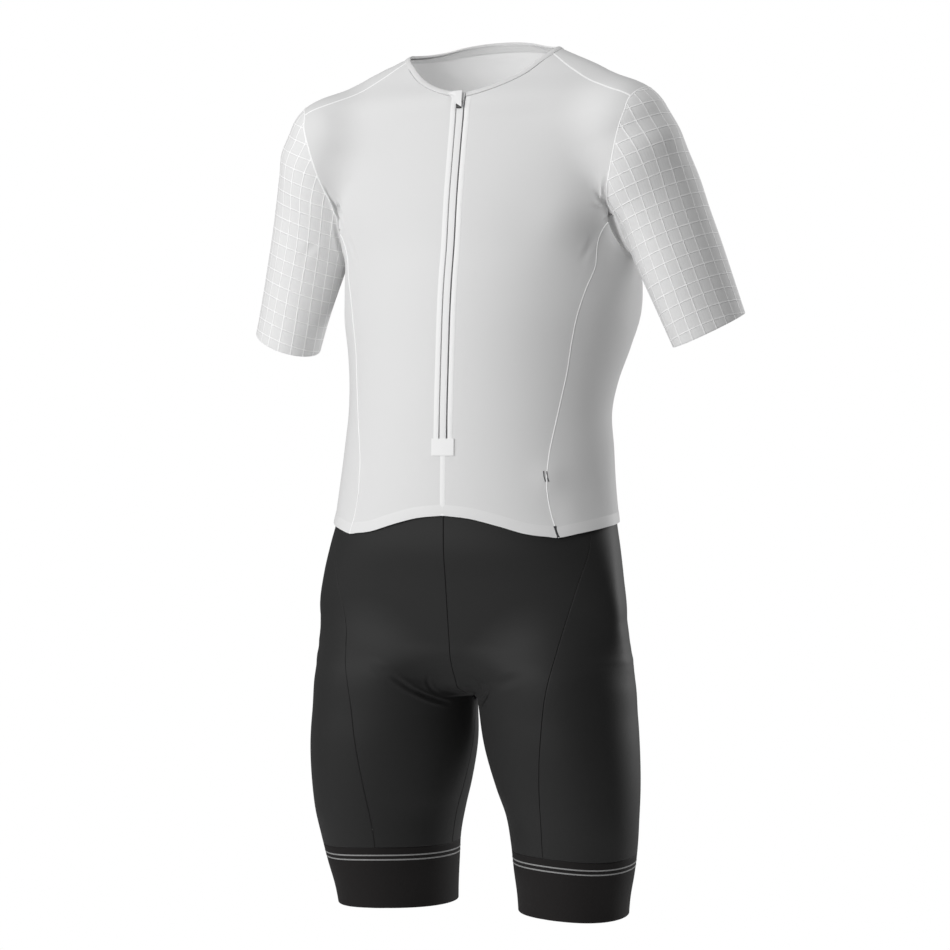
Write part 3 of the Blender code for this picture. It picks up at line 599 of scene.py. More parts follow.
def pressed(points):
    """How far each point moves out for the folds and swells near it."""
    moves = np.zeros(len(points))
    for width, depth, lips, line in FOLDS:
        low, high = line.min(0) - FOLD_REACH * width, line.max(0) + FOLD_REACH * width
        near = np.nonzero(((points > low) & (points < high)).all(-1))[0]
        if not len(near):
            continue
        apart = np.linalg.norm(points[near, None] - line[None], axis=-1)
        nearest = apart.argmin(1)
        share = nearest / (len(line) - 1)
        away = apart[np.arange(len(near)), nearest] / width
        taper = np.sin(np.pi * np.clip(share, FOLD_END, 1 - FOLD_END)) ** FOLD_TAPER
        ends = np.exp(-(away**2)) - lips * np.exp(-(((away - LIP_AWAY) / LIP_WIDE) ** 2))
        moves[near] -= depth * taper * ends
    for place, reach, height in SWELLS:
        away = np.linalg.norm(points - np.array(place) * MM, axis=-1) / (reach * MM)
        moves += height * MM * np.exp(-(away**2))
    return moves


# ---- objects


def leaned(points):
    """Points moved to the stance: the chest leans a little to one side."""
    rise = LEAN * points[..., 0] * eased(points[..., 2], LEAN_LOW, LEAN_HIGH)
    return points + np.stack([0 * rise, 0 * rise, rise], axis=-1)


def placed(name, data):
    made = bpy.data.objects.new(name, data)
    bpy.context.scene.collection.objects.link(made)
    return made


def add_object(name, bm, material, slot):
    bmesh.ops.recalc_face_normals(bm, faces=bm.faces)
    if bm.calc_volume(signed=True) < 0:
        bmesh.ops.reverse_faces(bm, faces=bm.faces)
    mesh = bpy.data.meshes.new(name)
    bm.to_mesh(mesh)
    bm.free()
    mesh.shade_smooth()
    mesh.set_sharp_from_angle(angle=SHARP_ANGLE)
    mesh.materials.append(material)
    made = placed(name, mesh)
    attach(made, "root")
    return made


def cloth(name, grid, look, wall=WALL, closed=False, side=0, sink=None):
    """A cut piece: the grid as its outer face, with its folds, extruded inward by its wall.

    `sink` is how far each point's outer face turns in, and `side` keeps it on its side of the middle.
    """
    rows, columns = grid.shape[:2]
    flat = grid.reshape(-1, 3)
    out = normals(flat)
    lift = pressed(flat)
    rolled = lift if sink is None else lift - sink.reshape(-1)
    outer = leaned(flat + out * rolled[:, None])
    inner = leaned(flat + out * (lift - wall)[:, None])
    bm = bmesh.new()
    bmesh.ops.create_grid(bm, x_segments=columns - 1, y_segments=rows - 1, size=1)
    number = bm.verts.layers.int.new("number")
    for place, vertex in enumerate(bm.verts):
        vertex.co = outer[place]
        vertex[number] = place
    if closed:
        bmesh.ops.remove_doubles(bm, verts=bm.verts, dist=MERGE)
    made = bmesh.ops.extrude_face_region(bm, geom=bm.faces[:], use_keep_orig=True)
    for item in made["geom"]:
        if isinstance(item, bmesh.types.BMVert):
            item.co = inner[item[number]]
    if side:
        for vertex in bm.verts:
            vertex.co.x = side * max(vertex.co.x * side, SEAM_GAP / 2)
    return add_object(name, bm, *look)


TAPE_EDGE = 0.25  # the share of a tape's lift that its edges keep


def tape(name, line, look, width, lift, level=JERSEY_OUT, across=4, closed=False, wall=TAPE_WALL):
    """A thin domed strip along a line on the figure, `across` points wide, its width and lift in mm."""
    ends = np.concatenate([line[-2:-1], line, line[1:2]]) if closed else line
    runs = np.gradient(ends, axis=0)
    sideways = unit(np.cross(normals(line), unit(runs[1:-1] if closed else runs)))
    shares = np.linspace(-1, 1, across)
    grid = line[None] + sideways[None] * (shares * (width * MM) / 2)[:, None, None]
    dome = lift * MM * (1 - (1 - TAPE_EDGE) * shares**4)
    grid = raised(laid(grid, level, rounds=4), dome[:, None, None])
    return cloth(name, grid, look, wall=wall, closed=closed)


# ---- the suit's lines


def level_curve(points, cells, level=JERSEY_OUT, packed=0.0):
    return laid(along(laid(points, level), cells, packed), level)


def joined(*stretches):
    """Stretches of a line joined end to end, each starting where the last one ended."""
    return np.concatenate([stretches[0]] + [stretch[1:] for stretch in stretches[1:]])


def ring(angles, height, centre_x, centre_y, half_width, half_depth):
    """Points round one level section of the figure."""
    x = centre_x + half_width * np.cos(angles)
    y = centre_y + half_depth * np.sin(angles)
    return laid(np.stack([x, y, np.full(len(angles), height)], axis=-1), 0)


def leg_ring(height, start, turn, cells):
    """Points round the left leg at one height, from an angle through a turn."""
    return ring(start + np.linspace(0, turn, cells + 1), height, *read(LEG_DENSE, height))


def leg_angle(point):
    centre_x, centre_y, half_width, half_depth = read(LEG_DENSE, point[2])
    return float(np.arctan2((point[1] - centre_y) / half_depth, (point[0] - centre_x) / half_width))


def waist_ring(height, start, end, cells):
    """Points round the torso's left side at one height, from one angle to another."""
    half_width, side_y, front_y, back_y = read(TORSO_DENSE, height)
    angles = np.linspace(start, end, cells + 1)
    deep = np.where(np.sin(angles) < 0, side_y - front_y, back_y - side_y)
    return ring(angles, height, 0, side_y, half_width, deep)


def arm_angle(rel):
    """The angle round the arm of a place measured from the shoulder."""
    return np.arctan2(rel @ ARM_BACKWARD, rel @ ARM_OUTWARD)


def neck_edge(points, drop):
    """A line that runs `drop` below the neck's edge, down the figure."""
    away = unit(points - NECK_CENTRE)
    slope = normals(points)
    down = unit(away - slope * (away * slope).sum(-1, keepdims=True))
    return points + down * drop


def build_lines():
    """Every seam and edge of the wearer's left half, from its table."""
    lines = {}
    edge = laid(NECK)
    low = laid(neck_edge(edge, BINDING_WIDTH))
    shoulder = len(NECK) // 2 - 1
    for name, points in (("neck", low), ("edge", edge)):
        lines[f"{name}_front"] = laid(along(points[: shoulder + 1], NECK_FRONT))
        lines[f"{name}_back"] = laid(along(points[shoulder:], NECK_BACK // 2))
    ends = low[shoulder : shoulder + 1], path(*JERSEY_SEAMS["arm_front"][1][:1])
    lines["yoke"] = level_curve(np.concatenate([ends[0], YOKE_SEAM, ends[1]]), YOKE)
    for name, (cells, points) in JERSEY_SEAMS.items():
        lines[name] = level_curve(path(*points), cells)
    lines["zip"] = level_curve(np.concatenate([lines["neck_front"][:1], CENTRE_ZIP]), ZIP_ROWS)
    lines["placket"] = level_curve(CENTRE_HEM, PLACKET_ROWS - 1)
    for name, (cells, packed, points) in SHORTS_SEAMS.items():
        lines[name] = level_curve(path(*points), cells, 0, packed)
    return lines


LINES = build_lines()


def seam(*names):
    return joined(*[LINES[name] for name in names])


def front():
    centre = np.concatenate([LINES["zip"], LINES["placket"]])[::-1]
    side = seam("arm_front", "front_side")[::-1]
    return patch(LINES["hem_front"], seam("neck_front", "yoke"), centre, side)


def side_panel():
    ahead, behind = LINES["front_side"][::-1], LINES["back_side"][::-1]
    return patch(LINES["hem_side"], LINES["arm_under"], ahead, behind)


def whole(half):
    """A line of the left half joined to its mirrored self in the middle."""
    return joined(half, mirrored(half)[::-1])


def back():
    top = joined(LINES["yoke"][::-1], LINES["neck_back"])
    side = joined(LINES["back_side"][::-1], LINES["arm_back"])
    return patch(whole(LINES["hem_back"]), whole(top), side, mirrored(side))


ARMHOLE = seam("arm_front", "arm_under", "arm_back")


def sleeve():
    rel = ARMHOLE - SHOULDER
    start, later = arm_angle(rel[0]), arm_angle(rel[ARM_FRONT // 2])
    turn = np.sign(np.sin(later - start)) * 2 * np.pi
    angles = start + np.linspace(0, turn, len(rel))[:, None]
    out, back, half_width, half_depth = read(ARM_DENSE, CUFF_ALONG)
    cuff = SHOULDER + ARM_AXIS * CUFF_ALONG + ARM_OUTWARD * out + ARM_BACKWARD * back
    cuff = cuff + ARM_OUTWARD * half_width * np.cos(angles) + ARM_BACKWARD * half_depth * np.sin(angles)
    for _ in range(4):  # onto the figure, and back to the cuff's flat cut
        cuff = laid(cuff, rounds=1)
        cuff = cuff - np.outer((cuff - SHOULDER) @ ARM_AXIS - CUFF_ALONG, ARM_AXIS)
    return tube(ARMHOLE, cuff, SLEEVE_ROWS)


def shorts():
    """The left leg's front and back pieces and its band."""
    thigh, inseam = LINES["thigh"], LINES["inseam"]
    seam_angle, inner_angle = leg_angle(thigh[-1]), leg_angle(inseam[-1])
    inner_angle = inner_angle if inner_angle < seam_angle else inner_angle - 2 * np.pi
    front_turn = inner_angle - seam_angle
    rings = []
    for height in (BAND_TOP, LEG_HEM):
        ahead = leg_ring(height, seam_angle, front_turn, THIGH_FRONT)
        behind = leg_ring(height, seam_angle + front_turn, -2 * np.pi - front_turn, THIGH_BACK)
        rings.append((ahead, behind))
    thigh = np.concatenate([thigh[:-1], rings[0][0][:1]])
    inseam = np.concatenate([inseam[:-1], rings[0][1][:1]])
    half_width, side_y, front_y, _ = read(TORSO_DENSE, SHORTS_TOP)
    split = np.arctan2((thigh[0, 1] - side_y) / (side_y - front_y), thigh[0, 0] / half_width)
    waist_front = waist_ring(SHORTS_TOP, -np.pi / 2, split, THIGH_FRONT)
    waist_back = waist_ring(SHORTS_TOP, split, np.pi / 2, THIGH_BACK)
    thigh[0] = waist_front[-1]
    rise_front, rise_back = LINES["rise_front"].copy(), LINES["rise_back"].copy()
    rise_front[0], rise_back[0] = waist_front[0], waist_back[-1]
    ahead, behind = rings[0]
    front_piece = patch(ahead[::-1], waist_front, joined(rise_front, inseam)[::-1], thigh[::-1], 0)
    back_piece = patch(behind[::-1], waist_back, thigh[::-1], joined(rise_back, inseam)[::-1], 0)
    band = tube(joined(ahead, behind), joined(*rings[1]), BAND_ROWS, 0)
    return front_piece, back_piece, band


def four_corners(corners, columns, rows):
    """A plain grid between four points, laid on the jersey's outer face."""
    u = np.linspace(0, 1, columns + 1)[None, :, None]
    v = np.linspace(0, 1, rows + 1)[:, None, None]
    start, end, start_up, end_up = corners
    return laid(between(between(start, end, u), between(start_up, end_up, u), v))


def seat_pad():
    """The pad's outer face: rows that walk out to both sides from the middle of the crotch."""
    middle = laid(along(PAD[:, :3], PAD_ROWS), 0)
    reach = np.interp(np.linspace(0, 1, PAD_ROWS + 1), np.linspace(0, 1, len(PAD)), PAD[:, 3])
    walked, heading = middle, np.tile([1.0, 0, 0], (len(middle), 1))
    half = [middle]
    for step in range(1, PAD_CELLS * PAD_STEPS + 1):
        slope = normals(walked)
        heading = unit(heading - slope * (heading * slope).sum(-1, keepdims=True))
        walked = laid(walked + heading * (reach / PAD_CELLS / PAD_STEPS)[:, None], 0, 3)
        if step % PAD_STEPS == 0:
            half.append(walked)
    half = np.stack(half, axis=1)
    grid = np.concatenate([mirrored(half[:, :0:-1]), half], axis=1)
    return raised(grid, PAD_LEVEL)


# ---- looks


def linear(hex_colour):
    """An sRGB hex colour as linear values."""
    parts = [int(hex_colour[i : i + 2], 16) / 255 for i in (1, 3, 5)]
    return tuple(p / 12.92 if p <= 0.04045 else ((p + 0.055) / 1.055) ** 2.4 for p in parts)


def node(tree, kind, inputs=(), **settings):
    """One node, with its settings, and its inputs as (socket, value or output socket)."""
    made = tree.nodes.new(kind)
    for key, value in settings.items():
        setattr(made, key, value)
    for socket, value in inputs:
        if isinstance(value, bpy.types.NodeSocket):
            tree.links.new(value, made.inputs[socket])
        else:
            made.inputs[socket].default_value = value
    return made


def surface(name, colour, roughness, sheen=0.0, specular=0.5):
    material = bpy.data.materials.new(name)
    material.use_nodes = True
    shader = material.node_tree.nodes["Principled BSDF"]
    shader.inputs["Base Color"].default_value = (*linear(colour), 1)
    shader.inputs["Roughness"].default_value = roughness
    shader.inputs["Specular IOR Level"].default_value = specular
    shader.inputs["Sheen Weight"].default_value = sheen
    shader.inputs["Sheen Roughness"].default_value = 0.5
    return material


def bumped(material, source, height, strength=1.0):
    """The material with a relief, whose full height is in metres."""
    tree = material.node_tree
    bump = node(tree, "ShaderNodeBump", [("Height", source), ("Strength", strength), ("Distance", height)])
    tree.links.new(bump.outputs["Normal"], tree.nodes["Principled BSDF"].inputs["Normal"])
    return material


def knit(name, colour, roughness, sheen, specular, grain, height):
    """A smooth knit: a fine grain of loops, `grain` of them to a metre, that softens its highlights.

    Real loops are about 0.3 mm apart. They are drawn 1.4 to 3.3 mm apart, so that they show.
    """
    material = surface(name, colour, roughness, sheen, specular)
    tree = material.node_tree
    place = node(tree, "ShaderNodeTexCoord")
    grain_inputs = [("Vector", place.outputs["Object"]), ("Scale", grain), ("Detail", 3.0)]
    grains = node(tree, "ShaderNodeTexNoise", grain_inputs)
    return bumped(material, grains.outputs["Fac"], height, strength=0.5)


GRID_ACROSS, GRID_ALONG = 13.0 * MM, 15.0 * MM
GRID_PHASE_ACROSS, GRID_PHASE_ALONG = 1.7 * MM, 13.2 * MM
GRID_LINE = 1.3 * MM
LINE_TOP, LINE_FOOT = 0.28, 0.72  # where a line's side starts and ends, in line widths from its middle
RIB_PITCH = 2.6 * MM  # real ribs are nearer 1 mm; they are drawn coarser so that they show
RIB_SHARE, GRID_HEIGHT = 0.05, 0.45 * MM  # the ribs' height as a share of the grid's


def grid_sleeve_knit():
    """Light grey ribbed knit with raised white lines in squares."""
    material = surface("ribbed_warp_knit_with_raised_grid", "#D6D7D9", 0.75, 0.08, 0.3)
    tree = material.node_tree

    def math(operation, *values):
        return node(tree, "ShaderNodeMath", enumerate(values), operation=operation).outputs[0]

    uv = node(tree, "ShaderNodeUVMap", uv_map="cut")
    split = node(tree, "ShaderNodeSeparateXYZ", [(0, uv.outputs[0])])
    lines = []
    for axis, pitch, phase in ((0, GRID_ACROSS, GRID_PHASE_ACROSS), (1, GRID_ALONG, GRID_PHASE_ALONG)):
        from_line = math("PINGPONG", math("SUBTRACT", split.outputs[axis], phase - 10 * pitch), pitch / 2)
        ranges = [(0, from_line), (1, GRID_LINE * LINE_TOP), (2, GRID_LINE * LINE_FOOT), (3, 1.0), (4, 0.0)]
        line = node(tree, "ShaderNodeMapRange", ranges, interpolation_type="SMOOTHSTEP")
        lines.append(line.outputs[0])
    mask = math("MAXIMUM", *lines)
    rib = math("SINE", math("MULTIPLY", split.outputs[0], 2 * np.pi / RIB_PITCH))
    colours = [("Factor", mask), ("A", (*linear("#E4E4E4"), 1)), ("B", (*linear("#FFFFFF"), 1))]
    colour = node(tree, "ShaderNodeMix", colours, data_type="RGBA")
    for socket in colour.outputs:
        if socket.type == "RGBA":
            tree.links.new(socket, tree.nodes["Principled BSDF"].inputs["Base Color"])
    return bumped(material, math("ADD", math("MULTIPLY", rib, RIB_SHARE), mask), GRID_HEIGHT)


# A fine matt white knit whose sides fall softly to grey
JERSEY = knit("white_warp_knit_jersey", "#DCDCDC", 0.78, 0.1, 0.3, 700.0, 0.12 * MM), "jersey_knit"
# Faint upright ribs with a thin raised white grid over them
SLEEVE = grid_sleeve_knit(), "ribbed_sleeve_knit"
# Deep black with a weak, broad shine where the cloth turns away
SHORTS = knit("black_warp_knit_elastane", "#222222", 0.6, 0.03, 0.22, 700.0, 0.12 * MM), "shorts_knit"
# A flatter, denser black than the shorts
BAND = knit("black_gripper_elastic", "#1B1919", 0.7, 0.02, 0.15, 500.0, 0.2 * MM), "band_knit"
# Bright thin lines along the seams: white tapes painted brighter than the cloth, a painted highlight for
# the light that the seams' ridges catch
SEAM_TAPE_PAINTED_HIGHLIGHT = surface("white_seam_tape_painted_highlight", "#FAFAFA", 0.5, 0.0, 0.4), "jersey_knit"
# Smooth film strips, a little brighter than the cloth
ZIP_EDGE = surface("white_bonded_zip_edge_film", "#EBEBEB", 0.5, 0.0, 0.4), "jersey_knit"
# A band that hardly differs from the cloth above it
FACING = surface("white_bonded_hem_facing", "#E0E0E0", 0.6, 0.0, 0.35), "jersey_knit"
# A smooth pale strip with a soft highlight down its middle
COVER = surface("white_coated_zip_tape", "#E2E2E2", 0.45, 0.0, 0.45), "zip_cover"
# Grey in the grooves on both sides of the strip: the tape under the zip is coloured grey as painted shade,
# standing for the shade that falls in the grooves
ZIP_GROOVE_PAINTED_SHADE = surface("grey_zip_tape_painted_groove_shade", "#7C7D80", 0.8), "zip_cover"
# A darker line inside the back of the neck
NECK_TAPE = surface("grey_neck_tape", "#C8C8C8", 0.7), "jersey_knit"
# Small dark stitches at the pockets
DARK = surface("dark_bar_tack_thread", "#3C3D3F", 0.7), "jersey_knit"
# Mid grey rings with a dull shine
STRIPE = surface("grey_reflective_stripe", "#8C8C8C", 0.45), "band_knit"
# A small hard black piece with a sharp highlight
SLIDER = surface("matt_black_coated_zinc", "#0C0C0C", 0.4), "slider_black"
# A soft dark grey nap inside the seat
PAD_LOOK = knit("dark_brushed_pad_fleece", "#3A3A3C", 0.9, 0.2, 0.2, 300.0, 0.4 * MM), "pad_foam"


# ---- the suit's pieces

HALVES = (("left", 1), ("right", -1))  # the wearer's

# The crease along each armhole seam, on the side of the body
ARMPIT_LINE = np.concatenate([LINES["arm_front"][5:], LINES["arm_under"][1:7]])
CREASE_WIDTH, CREASE_LIPS, CREASE_AWAY = 1.3 * MM, 0.2, 2.9
for points, away, depth in (
    (ARMPIT_LINE, -CREASE_AWAY, 5.5),
    (mirrored(ARMPIT_LINE)[:-1], CREASE_AWAY, 4.0),
):
    beside = unit(np.cross(normals(points), unit(np.gradient(points, axis=0)))) * away * MM
    crease = laid(along(points + beside, 3 * FOLD_POINTS))
    FOLDS.append((CREASE_WIDTH, depth * MM, CREASE_LIPS, crease))


def stand_in(name, solid, grid, look, **settings):
    """A piece of cloth in place of its solid."""
    piece = cloth(name, grid, look, **settings)
    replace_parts(piece, solid)
    return piece


def cut_piece(name, grid, look, level=JERSEY_OUT, closed=False, side=0):
    """A cut piece with finer cells, seam gaps and rolled edges."""
    grid, sink = edged(with_gaps(refined(grid, level, closed), closed), level, closed)
    return stand_in(f"{name}_cloth", name, grid, look, closed=closed, side=side, sink=sink)


def both(name, grid, look, level=JERSEY_OUT, closed=False):
    """The wearer's left piece and its mirrored right one."""
    left = cut_piece(f"{name}_left", grid, look, level, closed, 1)
    return [left, cut_piece(f"{name}_right", mirrored(grid), look, level, closed, -1)]


CUT_START = np.radians(-20)  # the angle round the arm from which the sleeve's cut is measured
CUT_HIGH, CUT_DIP = np.radians(-85), 9 * MM  # where its grid's rings lie highest, and half of their dip


def sleeve_cut(piece, sign):
    """The sleeve's flat cut as a UV map in metres: round the arm, then along it."""
    mesh = piece.data
    points = np.empty(len(mesh.vertices) * 3)
    mesh.vertices.foreach_get("co", points)
    points = points.reshape(-1, 3)
    points[:, 2] -= LEAN * points[:, 0]
    rel = points * [sign, 1, 1] - SHOULDER
    down = rel @ ARM_AXIS
    _, _, half_width, half_depth = read(ARM_DENSE, down)
    corners = np.empty(len(mesh.loops), dtype=int)
    mesh.loops.foreach_get("vertex_index", corners)
    turned_by = arm_angle(rel)[corners].reshape(-1, 4)
    wraps = turned_by.max(1, keepdims=True) - turned_by.min(1, keepdims=True) > np.pi
    turned_by = np.where(wraps & (turned_by < 0), turned_by + 2 * np.pi, turned_by).reshape(-1)
    u = ((half_width + half_depth) / 2)[corners] * (turned_by - CUT_START)
    v = down[corners] - CUT_DIP * (1 - np.cos(turned_by - CUT_HIGH))
    layer = mesh.uv_layers.new(name="cut")
    layer.uv.foreach_set("vector", np.column_stack([u, v]).astype(np.float32).ravel())


FRONTS = both("front", front(), JERSEY)
SIDES = both("side", side_panel(), JERSEY)
BACK = cut_piece("back", back(), JERSEY)
SLEEVES = both("sleeve", sleeve(), SLEEVE, closed=True)
for piece, (_, sign) in zip(SLEEVES, HALVES):
    sleeve_cut(piece, sign)

SHORT_FRONT, SHORT_BACK, LEG_BAND = shorts()
SHORT_FRONTS = both("short_front", SHORT_FRONT, SHORTS, level=0)
SHORT_BACKS = both("short_back", SHORT_BACK, SHORTS, level=0)
BANDS = both("leg_band", LEG_BAND, BAND, level=0, closed=True)

# ---- neck and zip


def neck_line(name):
    """A whole line round the neck, from the right side of the zip to its left side."""
    half = seam(f"{name}_front", f"{name}_back")
    return fine_line(joined(mirrored(half), half[::-1]))


SHARES = np.linspace(0, 1, BINDING_LINES)[:, None, None]
BINDING_GRID = with_gaps(between(neck_line("neck"), neck_line("edge"), SHARES))
BINDING_GRID = raised(BINDING_GRID, BINDING_OUT + BINDING_DOME * np.sin(np.pi * SHARES))
BINDING = stand_in("neck_binding_cloth", "neck_binding", BINDING_GRID, JERSEY, wall=BINDING_WALL)

INSIDE_NECK = JERSEY_OUT - WALL - 0.9 * MM
BACK_NECK = fine_line(LINES["neck_back"])
BACK_NECK = neck_edge(whole(BACK_NECK), NECK_TAPE_DROP)
NECK_TAPE_PIECE = tape(
    "inside_neck_tape", BACK_NECK, NECK_TAPE, width=7, lift=0.1, level=INSIDE_NECK, wall=WOVEN_WALL
)

ZIP_SIDE = fine_line(np.concatenate([LINES["edge_front"][:1], LINES["zip"]])[::-1])
ZIP_SHARES = np.array([-0.88, -0.84, -0.45, 0, 0.35, 0.72, 0.76])  # of the way to the fronts' edges
ZIP_LIFT = np.array([-0.5, 0.1, 0.35, 0.4, 0.35, 0.1, -0.5]) * MM
ZIP_GRID = laid(ZIP_SIDE[:, None] * np.array([0, 1, 1]))
ZIP_GRID = ZIP_GRID + ZIP_SIDE[:, None, :1] * ZIP_SHARES[None, :, None] * np.array([1, 0, 0])
ZIP_GRID = raised(laid(ZIP_GRID, rounds=4), ZIP_LIFT[None, :, None])
ZIP = stand_in("zip_strip_cover", "zip_strip", ZIP_GRID, COVER)
UNDER_LEVEL = JERSEY_OUT - 2.4 * MM
ZIP_MIDDLE = laid(ZIP_SIDE * [0, 1, 1], UNDER_LEVEL)
# The tape under the zip, whose grey is painted shade in the grooves beside the strip
ZIP_UNDER = tape(
    "zip_under_tape", ZIP_MIDDLE, ZIP_GROOVE_PAINTED_SHADE, width=17, lift=0.1, level=UNDER_LEVEL, across=3, wall=WOVEN_WALL
)

STOP_GRID = four_corners(STOP_TAPE, STOP_COLUMNS * DETAIL, STOP_ROWS * DETAIL)
STOP_GRID = raised(STOP_GRID, SEAM_GAP + STOP_TAPE_WALL)
STOP = stand_in("zip_stop_tape_bonded", "zip_stop_tape", STOP_GRID, ZIP_EDGE, wall=STOP_TAPE_WALL)

GARAGE_FINE = GARAGE_CELLS * DETAIL
ACROSS = np.linspace(0, 1, GARAGE_FINE + 1)
RISE = eased(np.maximum(ACROSS[None, :], ACROSS[::-1, None]), 0, GARAGE_SLOPE)
GARAGE_LIFT = GARAGE_LOW + (GARAGE_HIGH - GARAGE_LOW) * RISE
GARAGE_GRID = raised(four_corners(GARAGE[[2, 3, 0, 1]], GARAGE_FINE, GARAGE_FINE), GARAGE_LIFT[..., None])
GARAGE_PIECE = stand_in("zip_garage_flap", "zip_garage", GARAGE_GRID, ZIP_EDGE, wall=GARAGE_WALL)


def slider():
    """The slider: a block with rounded edges that narrows downward."""
    place = laid(SLIDER_PLACE, JERSEY_OUT + SEAM_GAP + SLIDER_SIZE[1] / 2)
    out = normals(place)
    up = unit(np.array([0, 0, 1]) - out * out[2])
    bm = bmesh.new()
    bmesh.ops.create_cube(bm, size=1)
    for vertex in bm.verts:
        across, deep, high = np.array(vertex.co) * SLIDER_SIZE
        across *= SLIDER_TAPER if high < 0 else 1
        vertex.co = leaned(place + np.cross(out, up) * across + out * deep + up * high)
    bm.normal_update()
    bmesh.ops.bevel(
        bm, geom=bm.edges[:], offset=SLIDER_ROUND, segments=4, profile=0.5, affect="EDGES", material=-1
    )
    return add_object("zip_slider_body", bm, *SLIDER)


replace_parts(slider(), "zip_slider")

# ---- tapes and edges


def both_tapes(name, line, width, lift, closed=False):
    """A seam tape on both sides of the suit."""
    return [
        tape(f"{name}_seam_tape_{word}", fine_line(half, closed=closed), SEAM_TAPE_PAINTED_HIGHLIGHT, width, lift, closed=closed)
        for (word, _), half in zip(HALVES, (line, mirrored(line)))
    ]


# These and the armhole tapes are painted a brighter white than the cloth, as a painted highlight along the
# seams
SEAM_TAPES = (
    both_tapes("front_side", LINES["front_side"], width=1.1, lift=0.45)
    + both_tapes("back_side", LINES["back_side"], width=1.1, lift=0.45)
    + both_tapes("yoke", LINES["yoke"], width=2.0, lift=0.25)
)
ARMHOLE_TAPES = both_tapes("armhole", ARMHOLE, width=1.6, lift=0.3, closed=True)
FACINGS, ZIP_TAPES, ALLOWANCES, STRIPES, MARKS = [], [], [], [], []

# Hem facing, turned up inside and bonded, which stands a little proud along the hem
HEM = seam("hem_front", "hem_side", "hem_back")
for (word, _), half in zip(HALVES, (HEM, mirrored(HEM))):
    fine = fine_line(half)
    upward = np.array([0, 0, 1.0]) - normals(fine) * normals(fine)[:, 2:]
    middle = laid(fine + unit(upward) * FACING_MIDDLE)
    FACINGS.append(tape(f"hem_facing_{word}", middle, FACING, width=11.6, lift=0.35, across=6))

for word, sign in HALVES:
    middle = laid(fine_line(LINES["zip"]) * [sign, 1, 1] + np.array([sign * ZIP_TAPE_AWAY, 0, 0]))
    ZIP_TAPES.append(tape(f"zip_edge_tape_{word}", middle, ZIP_EDGE, width=5.4, lift=0.4, across=5))
PLACKET = fine_line(along(LINES["placket"], PLACKET_TAPE_CELLS))
CENTRE_TAPE = tape("centre_seam_tape", PLACKET, ZIP_EDGE, width=5.4, lift=0.3)

# Seam allowances inside the shorts' centre seams, which close the way through them
INSIDE_SHORTS = -(WALL + 0.2 * MM)
for place in ("front", "back"):
    name = f"centre_{place}_seam_allowance"
    points = path(*SHORTS_SEAMS[f"rise_{place}"][2])
    middle = laid(along(points, ALLOWANCE_CELLS * DETAIL), INSIDE_SHORTS)
    ALLOWANCES.append(tape(name, middle, SHORTS, width=6, lift=0.1, level=INSIDE_SHORTS))

for word, sign in HALVES:
    for place, drop in (("upper", 8.4 * MM), ("lower", 13.4 * MM)):
        name = f"band_stripe_{place}_{word}"
        round_leg = leg_ring(BAND_TOP - drop, 0, 2 * np.pi, STRIPE_CELLS * DETAIL) * [sign, 1, 1]
        STRIPES.append(
            tape(name, round_leg, STRIPE, width=1.5, lift=0.25, level=0, closed=True, wall=STRIPE_WALL)
        )

# The left pocket's two end tacks and the tab on its side
for name, width, *points in (
    ("pocket_tack_front_left", 1.1, (102.9, -69, -449), (103.5, -69, -455), (104.4, -68, -460)),
    ("pocket_tack_back_left", 1.1, (107.0, -69, -449), (107.6, -69, -455), (108.5, -68, -460)),
    ("side_tab_left", 3.2, (115, -67, -506), (116.6, -67, -512), (118.6, -66, -518)),
):
    line = laid(along(path(*points), MARK_CELLS * DETAIL))
    MARKS.append(tape(name, line, DARK, width, lift=0.6))

PAD_PIECE = stand_in("seat_pad_foam", "seat_pad", refined(seat_pad(), PAD_LEVEL), PAD_LOOK, wall=PAD_WALL)

# ---- stage


def aimed(made, place, direction):
    """A light or a camera put in its place, looking in a direction."""
    made.location = place
    made.rotation_mode = "QUATERNION"
    made.rotation_quaternion = Vector(direction).to_track_quat("-Z", "Y")


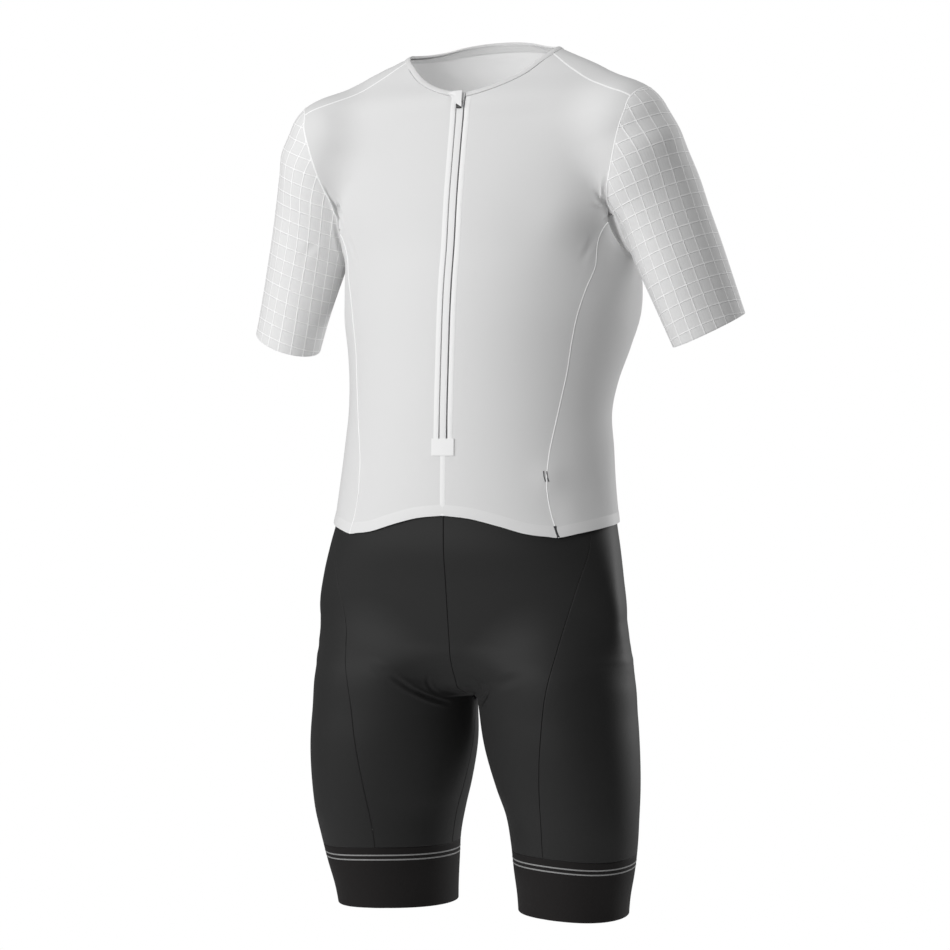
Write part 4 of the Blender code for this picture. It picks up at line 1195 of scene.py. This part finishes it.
MIDDLE = (0, 0, -0.456)
for name, place, target, size, power in (
    ("key_side", (-2.6, -1.85, 0.35), MIDDLE, (1.2, 1.8), 34),
    ("key_front", (-0.85, -2.85, 0.35), MIDDLE, (1.2, 1.8), 55),
    ("rim_right", (1.45, 2.1, 0.0), MIDDLE, (0.6, 1.8), 35),
    ("top", (0.6, -0.25, 1.6), (0.1, 0, -0.2), (0.9, 0.9), 9.5),
    ("inside", (0.0, 0.01, -0.22), (-0.08, 0.07, -0.03), (0.05, 0.05), 0.17),
):
    light = bpy.data.lights.new(name, "AREA")
    light.shape = "RECTANGLE"
    light.size, light.size_y = size
    light.energy = power
    aimed(placed(name, light), place, np.array(target) - np.array(place))

CAMERA_STRENGTH, ROOM_STRENGTH = 1.0, 0.15  # the room as the camera sees it, and as it lights the suit
world = bpy.data.worlds.new("pale_room")
world.use_nodes = True
room = world.node_tree.nodes["Background"]
seen = node(world.node_tree, "ShaderNodeLightPath").outputs["Is Camera Ray"]
ranges = [(0, seen), (3, ROOM_STRENGTH), (4, CAMERA_STRENGTH)]
strength = node(world.node_tree, "ShaderNodeMapRange", ranges)
room.inputs["Color"].default_value = (1, 1, 1, 1)
world.node_tree.links.new(strength.outputs[0], room.inputs["Strength"])
bpy.context.scene.world = world

FLOOR_HALF, FLOOR_HEIGHT = 1.2, -1.35
floor_mesh = bpy.data.meshes.new("floor")
bm = bmesh.new()
bmesh.ops.create_grid(bm, x_segments=1, y_segments=1, size=FLOOR_HALF)
bm.to_mesh(floor_mesh)
bm.free()
floor_mesh.materials.append(surface("pale_floor", "#F4F4F4", 0.9))
floor = placed("floor", floor_mesh)
floor.location = (0, 0, FLOOR_HEIGHT)

AZIMUTH, ELEVATION, DISTANCE = np.radians(21), np.radians(1.8), 3.0
PIXEL = 0.00108  # a pixel's width at the suit's middle, in metres
SENSOR, FRAME_PIXELS = 36.0, 950
lens = bpy.data.cameras.new("camera")
lens.sensor_width = SENSOR
lens.lens = SENSOR * (DISTANCE / PIXEL) / FRAME_PIXELS
camera = placed("camera", lens)
level_way = np.cos(ELEVATION)
BACKWARD = Vector((np.sin(AZIMUTH) * level_way, -np.cos(AZIMUTH) * level_way, np.sin(ELEVATION)))
aimed(camera, Vector(MIDDLE) + BACKWARD * DISTANCE, -BACKWARD)
bpy.context.scene.camera = camera
bpy.context.scene.view_settings.view_transform = "Standard"
